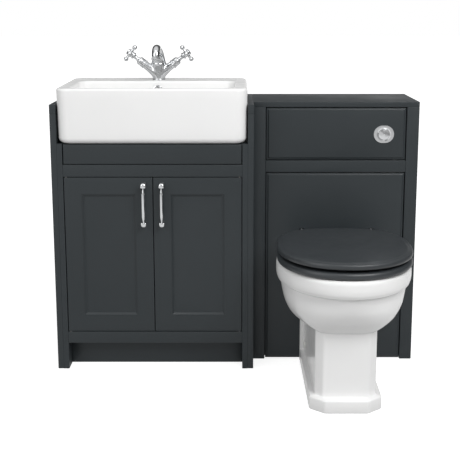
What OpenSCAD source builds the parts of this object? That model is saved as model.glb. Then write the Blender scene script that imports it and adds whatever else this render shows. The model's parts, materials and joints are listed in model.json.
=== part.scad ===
// Fitted bathroom run: a vanity unit with a semi-recessed basin, a concealed
// cistern unit beside it and a back-to-wall pan with a wooden seat.
// Millimetres, +X right, the front faces -Y, +Z up. The origin lies on the floor
// in the middle of the whole run. Every piece is drawn with the wall at y = 0
// and is then moved back by set_on_wall().

/* [Run] */
// Height of both cabinets above the floor
cabinet_h = 816; // [780:1:860]
// Depth of the vanity cabinet, wall to front
vanity_d = 326; // [310:1:360]
// Width of the cistern cabinet
wc_w = 500; // [480:1:600]
// Depth of the cistern cabinet, wall to front
wc_d = 250; // [230:1:280]

/* [Vanity boards] */
// Thickness of the outer end panels
end_t = 18; // [16:1:22]
// Height of the cap strip on each end panel
cap_h = 28.5; // [20:0.5:40]
// Thickness of the carcass boards
board_t = 16; // [15:1:18]
// Thickness of the face rails and the fascia
rail_t = 20; // [18:1:24]
// Thickness of the back panel
back_t = 6; // [4:1:9]
// Space between the wall and the back panel, for pipes
service_gap = 40; // [25:1:60]
// Height of the plinth space under the cabinet
plinth_h = 83; // [60:1:110]
// Set-back of the plinth board behind the front
plinth_set = 50; // [35:1:70]
// Height of the bottom rail
low_rail_h = 36; // [30:1:50]
// Height of the top rail
top_rail_h = 36; // [30:1:50]
// Height of the fascia above the top rail
fascia_h = 59; // [45:1:75]
// Height of the shelf's underside above the base board
shelf_rise = 222; // [150:1:300]

/* [Doors] */
// Gap round each door and fixed panel
gap = 2; // [1.5:0.1:3]
// Set-back of the door faces behind the posts
door_set = 1; // [0:0.5:2]
// Thickness of the doors
door_t = 20; // [19:0.5:24]
// Width of the stiles and rails
stile_w = 50; // [45:1:65]
// Width of the moulding round the panel
mould_w = 9; // [6:0.5:12]
// Depth of the moulding
mould_d = 6; // [4:0.5:8]
// Thickness of the door's centre panel
panel_t = 9; // [8:0.5:10]
// Depth of the groove that holds the centre panel
groove = 7; // [5:0.5:10]
// Distance from the door's outer edge to its pivot
pivot_in = 6.5; // [6:0.1:7]
// Distance from the door's face to its pivot
pivot_back = 5; // [4.6:0.1:5.2]
// Radius of the pivot pins
pivot_r = 2.5; // [2:0.1:3]
// Radius of the pivot bushes
bush_r = 4.2; // [3.8:0.1:4.5]
// Length of the pivot bushes
bush_l = 12; // [10:1:18]

/* [Handles] */
// Distance between the handle's screws
handle_pitch = 116; // [96:1:160]
// Distance from the handle's top screw to the door's top edge
handle_drop = 22; // [16:1:60]
// Distance from the handle to the door's inner edge
handle_in = 26; // [20:1:30]
// Stand-off of the grip from the door
handle_reach = 27; // [22:1:36]
// Width of the grip at its middle
grip_w = 12; // [9:0.5:15]
// Depth of the grip at its middle
grip_d = 9; // [7:0.5:12]
// Radius of the round feet
foot_r = 9.5; // [8:0.5:12]

/* [Basin] */
// Width of the basin at its rim
basin_w = 560; // [500:1:660]
// Distance from the basin's rim to the outside of the cabinet
basin_side = 20; // [18:1:40]
// Height of the basin from its underside to its rim
basin_h = 163; // [150:1:180]
// Overhang of the basin in front of the cabinet
basin_over = 9; // [5:1:20]
// Height of the rim above the cabinet's end panels
rim_up = 47; // [35:1:60]
// Rise of the rim from front to wall
rim_rise = 6; // [0:1:10]
// Inward lean of each side from rim to foot
basin_lean = 4; // [2:0.5:8]
// Plan radius of the front corners
basin_corner = 46; // [30:1:60]
// Radius of the basin's lower edge
basin_edge = 18; // [10:1:24]
// Thickness of the ceramic
clay = 12; // [10:1:14]
// Width of the rim beside the bowl
side_rim = 38; // [30:1:50]
// Width of the rim in front of the bowl
front_rim = 24; // [20:1:40]
// Depth of the tap ledge behind the bowl
ledge_d = 112; // [95:1:120]
// Plan radius of the bowl's front corners
bowl_corner = 44; // [30:1:60]
// Plan radius of the bowl's back corners
bowl_corner_back = 34; // [24:1:50]
// Depth of the bowl below the rim
bowl_depth = 122; // [100:1:130]
// Radius of the overflow hole
overflow_r = 11; // [9:0.5:13]
// Depth of the overflow hole's centre below the rim
overflow_drop = 22; // [18:1:30]
// Radius of the tap hole
tap_hole_r = 17.5; // [17:0.5:19]
// Radius of the waste outlet
waste_r = 22.5; // [21:0.5:24]

/* [Tap] */
// Distance from the wall to the tap's centre
tap_wall = 62; // [56:1:70]
// Radius of the tap's foot
tap_foot_r = 20.5; // [19:0.5:24]
// Angle of each valve arm above the ledge
arm_angle = 38; // [34:1:46]
// Height above the ledge where the axes of the valve arms meet
arm_rise = 14; // [8:1:20]
// Distance along a valve arm to the bonnet
arm_l = 55; // [50:1:66]
// Length of the bonnet
bonnet_l = 27; // [22:1:34]
// Radius of the bonnet
bonnet_r = 13.5; // [11:0.5:16]
// Distance along a valve arm to the crosshead
cross_at = 114; // [105:1:128]
// Span of a crosshead
cross_span = 61; // [50:1:70]
// Radius of a crosshead's round ends
ball_r = 6.3; // [5:0.1:8]
// Radius of the valve stems
stem_r = 5; // [4:0.5:6]
// Reach of the spout
spout_reach = 98; // [80:1:120]
// Height of the spout's arch above the ledge
spout_h = 107; // [98:1:135]
// Radius of the spout at its outlet
spout_r = 12.5; // [10:0.5:14]

/* [Waste] */
// Radius of the waste flange and plug
flange_r = 31; // [28:0.5:34]
// Lift of the plug when it is open
plug_lift = 9; // [6:0.5:12]
// Length of the waste's threaded tail
tail_l = 60; // [50:1:80]
// Radius of the trap's bottle
bottle_r = 32; // [26:1:38]
// Radius of the trap's outlet pipe
trap_pipe_r = 16; // [15:0.5:21]
// Length of the trap's bottle
bottle_l = 118; // [90:1:140]

/* [Cistern cabinet] */
// Thickness of the cistern cabinet's boards
wc_board = 18; // [16:1:20]
// Width of the face stiles
wc_stile_w = 37; // [30:1:45]
// Thickness of the top board
wc_top_t = 16; // [15:1:22]
// Width of the routed edge on the fixed panels
rout_w = 8; // [4:0.5:10]
// Depth of the routed edge
rout_d = 5; // [3:0.5:7]
// Clearance under the lower panel
floor_gap = 3; // [2:1:8]

/* [Cistern] */
// Width of the tank
tank_w = 380; // [340:5:400]
// Depth of the tank
tank_d = 138; // [120:1:150]
// Space between the tank and the top board
tank_room = 40; // [30:1:60]
// Wall thickness of the tank
tank_wall = 4; // [3:0.5:5]
// Height of the tank's underside above the floor
tank_z = 430; // [420:5:445]
// Radius of the flush pipe
flush_r = 20; // [18:0.5:22]
// Distance from the tank's middle to the flush valve
valve_off = 80; // [75:1:90]
// Distance from the tank's middle to the fill valve
fill_off = 150; // [145:1:155]
// Bend radius of the flush pipe
bend_r = 30; // [26:1:34]
// Lift of the flush valve's core
core_lift = 24; // [15:1:30]

/* [Button] */
// Distance from the button to the cabinet's right side
button_in = 106; // [95:1:130]
// Distance from the button up to the top of the cabinet
button_drop = 98; // [85:1:120]
// Radius of the bezel's round ends
bezel_r = 26.5; // [24:0.5:30]
// Distance between the centres of the bezel's ends
bezel_oval = 8; // [0:0.5:12]
// Radius of the button
button_r = 17.5; // [15:0.5:20]
// Travel of the button
button_travel = 6; // [4:0.5:8]

/* [Pan] */
// Projection of the pan from the cabinet
pan_reach = 455; // [440:1:500]
// Height of the rim
pan_h = 397; // [390:1:440]
// Greatest half width of the rim
pan_half = 189; // [180:1:195]
// Height of the rim's outer band
band_h = 52; // [40:1:60]
// Height where the bowl meets the pedestal
neck_z = 226; // [200:1:240]
// Half width of the pedestal at the cabinet
ped_back = 91; // [86:1:100]
// Half width of the upright flange that stands against the cabinet
flange_half = 103; // [98:1:112]
// Thickness of that flange
flange_t = 14; // [10:1:20]
// Half width of the pedestal at its front corners
ped_half = 85; // [78:1:90]
// Half width of the pedestal's front face
ped_face = 64; // [55:1:70]
// Projection of the pedestal's front face
ped_reach = 360; // [340:1:380]
// Height of the octagonal foot
foot_h = 40; // [30:1:50]
// Ledge of the foot round the pedestal
foot_ledge = 22; // [15:1:28]
// Wall thickness of the pan
pan_wall = 14; // [12:1:16]
// Height of the outlet's centre
outlet_z = 180; // [175:1:190]
// Outer radius of the outlet spigot
outlet_r = 51; // [50:0.5:55]
// Height of the flush inlet's centre
inlet_z = 345; // [338:1:352]

/* [Seat] */
// Distance from the cabinet to the seat's hinge
hinge_y = 46; // [42:1:60]
// Height of the hinge above the rim
hinge_up = 20; // [18:1:26]
// Distance between the hinge pillars
hinge_pitch = 140; // [130:1:160]
// Thickness of the seat
seat_t = 20; // [16:1:22]
// Thickness of the lid
lid_t = 17.5; // [14:0.5:20]
// Space under the seat
seat_gap = 2; // [1.5:0.5:4]
// Space between the seat and the lid
lid_gap = 7; // [5:0.5:9]
// Half width of the seat and lid
seat_half = 188; // [180:1:194]
// Projection of the seat and lid from the cabinet
seat_reach = 449; // [435:1:454]
// Width of the seat ring at its sides
ring_w = 72; // [60:1:85]
// Radius of the hinge rod
rod_r = 5; // [4:0.5:6]

/* [Hidden] */
$fn = 48;
fit = 0.05;                 // radial clearance of a shaft in its bore
touch = 0.3;                // clearance between moving faces
eps = 0.5;                  // overshoot of a cutting solid

vanity_w = basin_w + 2 * basin_side;
run_w = vanity_w + wc_w;
run_d = wc_d + pan_reach;
vanity_x = -run_w / 2;                       // left face of the vanity
wc_x = vanity_x + vanity_w;                  // left face of the cistern cabinet
vanity_mid = vanity_x + vanity_w / 2;
wc_mid = wc_x + wc_w / 2;

// Vanity: the inner faces of the posts and the heights of the face pieces
post_t = end_t + board_t;
in_x0 = vanity_x + post_t;
in_x1 = wc_x - post_t;
low_rail_z = plinth_h;
door_z0 = low_rail_z + low_rail_h + gap;
base_z = low_rail_z + low_rail_h - board_t;
rim_z = cabinet_h + rim_up;
basin_z = rim_z - basin_h;                   // underside of the basin
fascia_z0 = basin_z - gap - fascia_h;
top_rail_z = fascia_z0 - gap - top_rail_h;
door_z1 = top_rail_z - gap;
shelf_z = base_z + board_t + shelf_rise;
door_w = (in_x1 - in_x0 - 3 * gap) / 2;
door_h = door_z1 - door_z0;
door_y = -(vanity_d - door_set);             // face of the doors
back_y = -service_gap;                       // wall side of the back panel

// Basin
basin_front = vanity_d + basin_over;
bowl_z = rim_z - bowl_depth;
bowl_back = ledge_d;
bowl_front = basin_front - front_rim;
waste_y = -(bowl_back + (bowl_front - bowl_back) * 0.46);
tap_z = rim_z + rim_rise * (1 - tap_wall / basin_front) - 0.6;
ledge_t = 15;

// Cistern cabinet
wc_in0 = wc_x + wc_stile_w;
wc_in1 = wc_x + wc_w - wc_stile_w;
mid_rail_z1 = fascia_z0 - gap;
mid_rail_z0 = top_rail_z;
upper_z0 = mid_rail_z1 + gap;
upper_z1 = cabinet_h - wc_top_t - gap;
button_x = wc_x + wc_w - button_in;
button_z = cabinet_h - button_drop;
face_y = -wc_d;

// Tank
tank_back = wc_board;
valve_x = wc_mid - valve_off;
fill_x = wc_mid - fill_off;
tank_top = cabinet_h - wc_top_t - tank_room;
tank_h = tank_top - tank_z;

// Pan
hinge_z = pan_h + hinge_up;
seat_z = pan_h + seat_gap;
lid_z = seat_z + seat_t + lid_gap;
seat_rear = hinge_y + 11;

paint = [0.20, 0.225, 0.235];
carcass_colour = [0.24, 0.26, 0.27];
china = [0.95, 0.95, 0.945];
chrome = [0.80, 0.81, 0.83];
steel = [0.62, 0.63, 0.65];
plastic = [0.90, 0.90, 0.88];
dark = [0.15, 0.15, 0.16];
bronze = [0.72, 0.58, 0.30];

// ---------------------------------------------------------------- helpers

// Moves a piece from the wall's frame to the run's own origin
module set_on_wall() {
    translate([0, run_d / 2, 0]) children();
}

// Box between two x, two y and two z values
module span(x, y, z) {
    translate([x[0], y[0], z[0]]) cube([x[1] - x[0], y[1] - y[0], z[1] - z[0]]);
}

// Cylinder along Y from y0 to y1
module rod_y(x, z, y0, y1, r, fn = 48) {
    translate([x, y0, z]) rotate([-90, 0, 0]) cylinder(r = r, h = y1 - y0, $fn = fn);
}

// Cylinder along X from x0 to x1
module rod_x(y, z, x0, x1, r, fn = 48) {
    translate([x0, y, z]) rotate([0, 90, 0]) cylinder(r = r, h = x1 - x0, $fn = fn);
}

// Solid skin through rings of equal length, each ring anticlockwise from above
module loft(rings) {
    n = len(rings[0]);
    last = len(rings) - 1;
    polyhedron(
        points = [for (ring = rings) each ring],
        faces = concat(
            [[for (i = [0:n - 1]) i]],
            [for (k = [0:last - 1], i = [0:n - 1])
                let (a = k * n + i, b = k * n + (i + 1) % n)
                each [[a, a + n, b + n], [a, b + n, b]]],
            [[for (i = [n - 1:-1:0]) last * n + i]]
        )
    );
}

function arc(x, y, r, from, to, steps) =
    [for (k = [0:steps]) let (a = from + (to - from) * k / steps)
        [x + r * cos(a), y + r * sin(a)]];

// Rectangle with its own front and back corner radii; y0 is the front
function round_rect(x0, x1, y0, y1, rf, rb, steps = 5) = concat(
    arc(x0 + rf, y0 + rf, rf, 180, 270, steps),
    arc(x1 - rf, y0 + rf, rf, 270, 360, steps),
    arc(x1 - rb, y1 - rb, rb, 0, 90, steps),
    arc(x0 + rb, y1 - rb, rb, 90, 180, steps));

// ---------------------------------------------------------------- vanity boards

module end_panel(x) {
    color(paint) set_on_wall()
        span([x, x + end_t], [-vanity_d, 0], [0, cabinet_h - cap_h]);
}

module end_panel_left() { end_panel(vanity_x); }

module end_panel_right() { end_panel(wc_x - end_t); }

module end_caps() {
    color(paint) set_on_wall()
        for (x = [vanity_x, wc_x - end_t])
            span([x, x + end_t], [-vanity_d, 0], [cabinet_h - cap_h, cabinet_h]);
}

// Inner side boards: they stop under the basin, which rests on them
module carcass_sides() {
    color(carcass_colour) set_on_wall()
        for (x = [vanity_x + end_t, wc_x - post_t])
            difference() {
                span([x, x + board_t], [-vanity_d, 0], [0, basin_z]);
                shelf_pin_holes();
            }
}

module carcass_base() {
    color(carcass_colour) set_on_wall()
        span([in_x0, in_x1], [-(vanity_d - rail_t), back_y], [base_z, base_z + board_t]);
}

module carcass_back() {
    color(carcass_colour) set_on_wall()
        difference() {
            span([in_x0, in_x1], [back_y - back_t, back_y],
                 [base_z + board_t, basin_z - clay]);
            rod_y(vanity_mid, trap_out_z, back_y - back_t - eps, back_y + eps, trap_pipe_r + 10);
        }
}

// Rail behind the back panel that takes the wall screws
wall_rail_h = 80;
wall_rail_z = top_rail_z - wall_rail_h;
wall_hole_r = 4;
wall_pitch = 400;
module vanity_wall_rail() {
    color(carcass_colour) set_on_wall()
        difference() {
            span([in_x0, in_x1], [-board_t, 0], [wall_rail_z, wall_rail_z + wall_rail_h]);
            for (s = [-1, 1])
                rod_y(vanity_mid + s * wall_pitch / 2, wall_rail_z + wall_rail_h / 2,
                      -board_t - eps, eps, wall_hole_r);
        }
}

module face_rail(z0, h) {
    color(paint) set_on_wall()
        difference() {
            span([in_x0, in_x1], [-vanity_d, -(vanity_d - rail_t)], [z0, z0 + h]);
            for (x = pivot_xs)
                translate([x, pivot_y, 0]) pivot_socket();
        }
}

module vanity_top_rail() { face_rail(top_rail_z, top_rail_h); }

module vanity_bottom_rail() { face_rail(low_rail_z, low_rail_h); }

module vanity_fascia() {
    color(paint) set_on_wall()
        span([in_x0 + gap, in_x1 - gap],
             [-(vanity_d - door_set), -(vanity_d - door_set - board_t)],
             [fascia_z0 - gap, fascia_z0 + fascia_h]);
}

module vanity_plinth() {
    color(paint) set_on_wall()
        span([in_x0, in_x1],
             [-(vanity_d - plinth_set), -(vanity_d - plinth_set - wc_board)],
             [0, base_z]);
}

// Battens on the carcass sides under the basin's skirt
bearer_h = 40;
bearer_t = 18;
module basin_bearers() {
    color(carcass_colour) set_on_wall()
        for (x = [in_x0, in_x1 - bearer_t])
            span([x, x + bearer_t], [-(vanity_d - door_set - board_t), back_y - back_t],
                 [basin_z - bearer_h, basin_z]);
}

// ---------------------------------------------------------------- shelf

shelf_front = vanity_d - rail_t - 24;
pin_r = 2.5;
pin_l = 8;
pin_set = 40;
module shelf_pin_holes() {
    for (y = [-shelf_front + pin_set, back_y - back_t - pin_set])
        rod_x(y, shelf_z - pin_r, in_x0 - pin_l - fit, in_x1 + pin_l + fit, pin_r + fit, 24);
}

module shelf() {
    color(carcass_colour) set_on_wall()
        span([in_x0 + 1, in_x1 - 1], [-shelf_front, back_y - back_t - 1],
             [shelf_z, shelf_z + board_t]);
}

module shelf_pins() {
    color(steel) set_on_wall()
        for (y = [-shelf_front + pin_set, back_y - back_t - pin_set])
            for (x = [in_x0 - pin_l, in_x1 - pin_l])
                rod_x(y, shelf_z - pin_r, x, x + 2 * pin_l, pin_r, 24);
}

// ---------------------------------------------------------------- doors

pivot_y = door_y + pivot_back;
pivot_x_left = in_x0 + gap + pivot_in;
pivot_x_right = in_x1 - gap - pivot_in;
pivot_xs = [pivot_x_left, pivot_x_right];
pin_deep = 14;

// Blind bores in the rails for both pins of one door
module pivot_socket() {
    translate([0, 0, top_rail_z - eps])
        cylinder(r = pivot_r + fit, h = pin_deep + eps, $fn = 32);
    translate([0, 0, low_rail_z + low_rail_h - pin_deep])
        cylinder(r = pivot_r + fit, h = pin_deep + eps, $fn = 32);
}

// Pin with a thin collar that keeps the door off the rail
module pivot_pin(z, up) {
    translate([0, 0, z]) mirror([0, 0, up ? 0 : 1]) {
        translate([0, 0, -pin_deep])
            cylinder(r = pivot_r, h = pin_deep + gap + bush_l - 1, $fn = 32);
        cylinder(r = bush_r - 0.4, h = gap - touch, $fn = 32);
    }
}

module pivot_pins() {
    color(steel) set_on_wall()
        for (x = pivot_xs)
            translate([x, pivot_y, 0]) {
                pivot_pin(low_rail_z + low_rail_h, true);
                pivot_pin(top_rail_z, false);
            }
}

module bush_pair(x) {
    color(bronze) set_on_wall()
        for (z = [door_z0, door_z1 - bush_l])
            translate([x, pivot_y, z])
                difference() {
                    cylinder(r = bush_r, h = bush_l, $fn = 32);
                    translate([0, 0, -eps])
                        cylinder(r = pivot_r + fit, h = bush_l + 2 * eps, $fn = 32);
                }
}

module pivot_bushes_left() { bush_pair(pivot_x_left); }

module pivot_bushes_right() { bush_pair(pivot_x_right); }

// Moulded edge round the door's panel, cut as one tapered block
module mould_cut(x0, x1) {
    hull() {
        span([x0 + stile_w, x1 - stile_w],
             [door_y - eps, door_y + mould_d],
             [door_z0 + stile_w, door_z1 - stile_w]);
        span([x0 + stile_w - mould_w, x1 - stile_w + mould_w],
             [door_y - eps, door_y + 0.01],
             [door_z0 + stile_w - mould_w, door_z1 - stile_w + mould_w]);
    }
}

module door_panel(x0, x1) {
    span([x0 + stile_w - groove, x1 - stile_w + groove],
         [door_y + mould_d + 1, door_y + mould_d + 1 + panel_t],
         [door_z0 + stile_w - groove, door_z1 - stile_w + groove]);
}

handle_z = [door_z1 - handle_drop - handle_pitch, door_z1 - handle_drop];
screw_r = 2;

// Five-piece door with its outer edge at x0, hinged there
module framed_door(x0, pivot_x, handle_x) {
    x1 = x0 + door_w;
    y = [door_y, door_y + door_t];
    for (x = [x0, x1 - stile_w])
        difference() {
            span([x, x + stile_w], y, [door_z0, door_z1]);
            mould_cut(x0, x1);
            door_panel(x0, x1);
            for (z = [door_z0 - eps, door_z1 - bush_l])
                translate([pivot_x, pivot_y, z])
                    cylinder(r = bush_r, h = bush_l + eps, $fn = 32);
            for (z = handle_z)
                rod_y(handle_x, z, door_y - eps, door_y + door_t + eps, screw_r + 0.3, 24);
        }
    for (z = [door_z0, door_z1 - stile_w])
        difference() {
            span([x0 + stile_w, x1 - stile_w], y, [z, z + stile_w]);
            mould_cut(x0, x1);
            door_panel(x0, x1);
        }
    door_panel(x0, x1);
}

left_x0 = in_x0 + gap;
right_x0 = left_x0 + door_w + gap;
handle_x_left = left_x0 + door_w - handle_in;
handle_x_right = right_x0 + handle_in;

module door_left() {
    color(paint) set_on_wall() framed_door(left_x0, pivot_x_left, handle_x_left);
}

module door_right() {
    color(paint) set_on_wall() framed_door(right_x0, pivot_x_right, handle_x_right);
}

// ---------------------------------------------------------------- handles

// Ellipse with its axes along X and Y
function oval(x, y, z, w, d, n) =
    [for (k = [0:n - 1]) [x + w / 2 * cos(360 * k / n), y + d / 2 * sin(360 * k / n), z]];

// Slim at both ends and full for the middle two thirds
function swell(t) = let (s = min(1, min(t, 1 - t) / 0.24)) 0.34 + 0.66 * s * s * (3 - 2 * s);

grip_steps = 14;
module pull_handle(x) {
    grip_y = door_y - handle_reach + grip_d / 2;
    set_on_wall() {
        union() {
            loft([for (k = [0:grip_steps])
                let (t = k / grip_steps, s = swell(t),
                     bow = 1.6 * (1 - pow(2 * t - 1, 2)))
                oval(x, grip_y - bow, handle_z[0] + handle_pitch * t,
                     grip_w * s, grip_d * s, 16)]);
            for (z = handle_z)
                translate([x, door_y, z]) rotate([90, 0, 0])
                    rotate_extrude($fn = 32)
                        handle_foot_outline(-grip_y + door_y);
        }
        for (z = handle_z) {
            rod_y(x, z, door_y, door_y + door_t, screw_r, 24);
            rod_y(x, z, door_y + door_t, door_y + door_t + 2.5, 4, 24);
        }
    }
}

// Half outline of a turned foot: flange, waist and button head
module handle_foot_outline(reach) {
    polygon(concat(
        [[0, 0], [foot_r, 0], [foot_r, 2.5]],
        [for (k = [1:4]) let (a = 90 * k / 4)
            [foot_r - (foot_r - 5) * sin(a), 2.5 + 5 * (1 - cos(a))]],
        [[5, reach - 5]],
        [for (k = [0:4]) let (a = 90 * k / 4)
            [7 * cos(a), reach - 1 + 4.5 * sin(a)]],
        [[0, reach + 3.5]]));
}

module handle_left() { color(chrome) pull_handle(handle_x_left); }

module handle_right() { color(chrome) pull_handle(handle_x_right); }

// ---------------------------------------------------------------- basin

// Ring round the basin; inset moves it inward, up is the height under the rim
function basin_ring(inset, z, tilt) =
    let (lean = basin_lean * (rim_z - z) / (rim_z - basin_z),
         half = basin_w / 2 - lean - inset,
         front = -(basin_front - lean / 2 - inset),
         back = min(0, -inset / 4),
         r = max(4, basin_corner - inset * 0.6))
    [for (p = round_rect(vanity_mid - half, vanity_mid + half, front, back, r, 5))
        [p.x, p.y, z + tilt * (1 + p.y / basin_front)]];

module basin_outer() {
    e = basin_edge;
    loft([
        basin_ring(e, basin_z, 0),
        basin_ring(e * 0.5, basin_z + e * 0.134, 0),
        basin_ring(e * 0.134, basin_z + e * 0.5, 0),
        basin_ring(0, basin_z + e, 0),
        basin_ring(0, rim_z - 7, rim_rise),
        basin_ring(2, rim_z - 2, rim_rise),
        basin_ring(7, rim_z, rim_rise)
    ]);
}

// Ring of the bowl, shrunk by inset on every side
function bowl_ring(inset, z, tilt = 0) =
    let (half = basin_w / 2 - side_rim - inset)
    [for (p = round_rect(vanity_mid - half, vanity_mid + half,
                         -(bowl_front - inset), -(bowl_back + inset),
                         max(6, bowl_corner - inset * 0.2), max(6, bowl_corner_back - inset * 0.2)))
        [p.x, p.y, z + tilt * (1 + p.y / basin_front)]];

// The bowl grown by t: 0 for the inside, clay for the outside of its wall
module bowl(t, top) {
    loft([
        bowl_ring(70 - t, bowl_z - t),
        bowl_ring(38 - t, bowl_z + 3 - t),
        bowl_ring(22 - t, bowl_z + 12 - t),
        bowl_ring(14 - t, bowl_z + 30 - t * 0.6),
        bowl_ring(8 - t, bowl_z + 70),
        bowl_ring(3 - t, rim_z - 9, rim_rise),
        bowl_ring(0 - t, rim_z - 3, rim_rise),
        bowl_ring(-5 - t, top, rim_rise)
    ]);
}

module basin() {
    color(china) set_on_wall()
        difference() {
            basin_outer();
            bowl(0, rim_z + 4);
            difference() {
                basin_hollow();
                bowl(clay, rim_z + 4);
                waste_boss();
            }
            translate([vanity_mid, waste_y, basin_z - eps])
                cylinder(r = waste_r, h = basin_h);
            translate([vanity_mid, waste_y, bowl_z - 3])
                cylinder(r = flange_r + 0.5, h = bowl_depth);
            rod_y(vanity_mid, rim_z - overflow_drop, -(bowl_back + 30),
                  -(bowl_back - clay - 6), overflow_r);
            translate([vanity_mid, -tap_wall, rim_z - 60])
                cylinder(r = tap_hole_r, h = 100);
            translate([vanity_mid, -tap_wall, tap_z])
                cylinder(r = tap_foot_r + 2, h = 20);
        }
}

// Space inside the skirt, under the ledge and round the bowl
module basin_hollow() {
    loft([
        basin_ring(basin_edge + 10, basin_z - eps, 0),
        basin_ring(basin_edge + 10, basin_z + 6, 0),
        basin_ring(clay, basin_z + basin_edge + clay, 0),
        basin_ring(clay, rim_z - ledge_t - 6, 0),
        basin_ring(clay + 6, rim_z - ledge_t, 0)
    ]);
}

module waste_boss() {
    translate([vanity_mid, waste_y, bowl_z - 26])
        cylinder(r = flange_r + 6, h = 30);
}

// Chrome trim in the overflow hole
module overflow_ring() {
    color(chrome) set_on_wall()
        translate([vanity_mid, -overflow_y, rim_z - overflow_drop])
            rotate([90, 0, 0])
                rotate_extrude($fn = 40)
                    polygon([[overflow_r - 3, -9], [overflow_r - 0.2, -9],
                             [overflow_r - 0.2, 0.2], [overflow_r + 3, 0.2],
                             [overflow_r + 2.4, 1.6], [overflow_r, 2.4],
                             [overflow_r - 2.2, 1.8], [overflow_r - 3, 0]]);
}
overflow_y = bowl_back + 7;

// ---------------------------------------------------------------- waste and trap

tail_z = bowl_z - 3 - tail_l;
trap_out_z = tail_z - 42;

// Flange, threaded tail with a back nut, and the spider that guides the plug
module waste_body() {
    color(chrome) set_on_wall()
        translate([vanity_mid, waste_y, 0]) {
            difference() {
                union() {
                    translate([0, 0, bowl_z - 3]) cylinder(r = flange_r, h = 3);
                    translate([0, 0, tail_z]) cylinder(r = waste_r - 1, h = tail_l);
                }
                translate([0, 0, tail_z - eps])
                    cylinder(r = waste_r - 4, h = tail_l + 10);
            }
            difference() {
                union() {
                    translate([0, 0, bowl_z - 24]) cylinder(r = 7, h = 14);
                    for (a = [0, 60, 120])
                        translate([0, 0, bowl_z - 20]) rotate([0, 0, a])
                            translate([-(waste_r - 2.5), -1.5, 0])
                                cube([2 * (waste_r - 2.5), 3, 6]);
                }
                translate([0, 0, bowl_z - 30]) cylinder(r = 4 + fit, h = 30, $fn = 32);
            }
            difference() {
                translate([0, 0, bowl_z - 26 - 9]) cylinder(r = 30, h = 9, $fn = 6);
                translate([0, 0, bowl_z - 40]) cylinder(r = waste_r - 1, h = 30);
            }
        }
}

module waste_plug() {
    color(chrome) set_on_wall()
        translate([vanity_mid, waste_y, 0]) {
            translate([0, 0, bowl_z + touch]) rotate_extrude()
                polygon([[0, 0], [flange_r - 1.5, 0], [flange_r - 0.5, 1.5],
                         [flange_r - 3, 3.4], [flange_r * 0.6, 5], [0, 6]]);
            translate([0, 0, bowl_z - 26]) cylinder(r = 4, h = 27, $fn = 32);
        }
}

// Bottle trap: inlet nut, dip tube and bottle, with the outlet to the wall
module bottle_trap() {
    nut_h = 18;
    color(chrome) set_on_wall()
        translate([vanity_mid, waste_y, 0]) {
            difference() {
                union() {
                    translate([0, 0, tail_z - 4]) cylinder(r = 27, h = nut_h, $fn = 48);
                    translate([0, 0, tail_z - 18]) cylinder(r = 18, h = 16);
                    translate([0, 0, tail_z - 24]) cylinder(r = bottle_r + 2, h = 8);
                    translate([0, 0, tail_z - 22 - bottle_l])
                        cylinder(r = bottle_r, h = bottle_l);
                    translate([0, 0, tail_z - 22 - bottle_l + 10])
                        cylinder(r = bottle_r + 3, h = 14, $fn = 48);
                    translate([0, 0, tail_z - 22 - bottle_l]) sphere_cap(bottle_r);
                    rod_y(0, trap_out_z, bottle_r - 4, -waste_y - 8, trap_pipe_r);
                    rod_y(0, trap_out_z, bottle_r - 2, bottle_r + 16, 22);
                }
                translate([0, 0, tail_z - 0.2]) cylinder(r = waste_r - 1, h = nut_h + 10);
                translate([0, 0, tail_z - 30]) cylinder(r = 15, h = 40);
                translate([0, 0, tail_z - 22 - bottle_l + 4])
                    cylinder(r = bottle_r - 3, h = bottle_l - 8);
                rod_y(0, trap_out_z, 4, -waste_y + eps, trap_pipe_r - 2);
            }
        }
}

module sphere_cap(r) {
    intersection() {
        translate([0, 0, r * 1.2]) sphere(r = r * 1.56, $fn = 48);
        translate([0, 0, -r]) cylinder(r = r - 2, h = r + 1);
    }
}

// ---------------------------------------------------------------- tap

// Places children at a distance along one valve arm, with Z along the arm
module on_arm(side, s) {
    translate([vanity_mid, -tap_wall, tap_z + arm_rise])
        rotate([0, side * (90 - arm_angle), 0])
            translate([0, 0, s]) children();
}

crown_z = 56;
neck_r = spout_r + 11.5;                       // where the neck leaves the body
module tap_body() {
    color(chrome) set_on_wall()
        difference() {
            union() {
                translate([vanity_mid, -tap_wall, tap_z]) rotate_extrude()
                    polygon([[0, 0], [tap_foot_r, 0], [tap_foot_r, 2],
                             [tap_foot_r - 1.5, 3.5], [tap_foot_r - 2, 10],
                             [neck_r - 4, 22], [neck_r - 2.5, 34], [neck_r + 0.5, 46],
                             [neck_r, 53], [neck_r - 2, crown_z], [0, crown_z]]);
                for (side = [-1, 1])
                    hull() {
                        on_arm(side, arm_l - 4) cylinder(r = bonnet_r - 0.5, h = 4, $fn = 32);
                        on_arm(side, 22) cylinder(r = 15, h = 4, $fn = 32);
                        translate([vanity_mid, -tap_wall, tap_z + 3])
                            cylinder(r = tap_foot_r - 3, h = 43, $fn = 32);
                    }
            }
            for (side = [-1, 1])
                on_arm(side, arm_l - 12) cylinder(r = stem_r + 1, h = 20, $fn = 32);
        }
}

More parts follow.
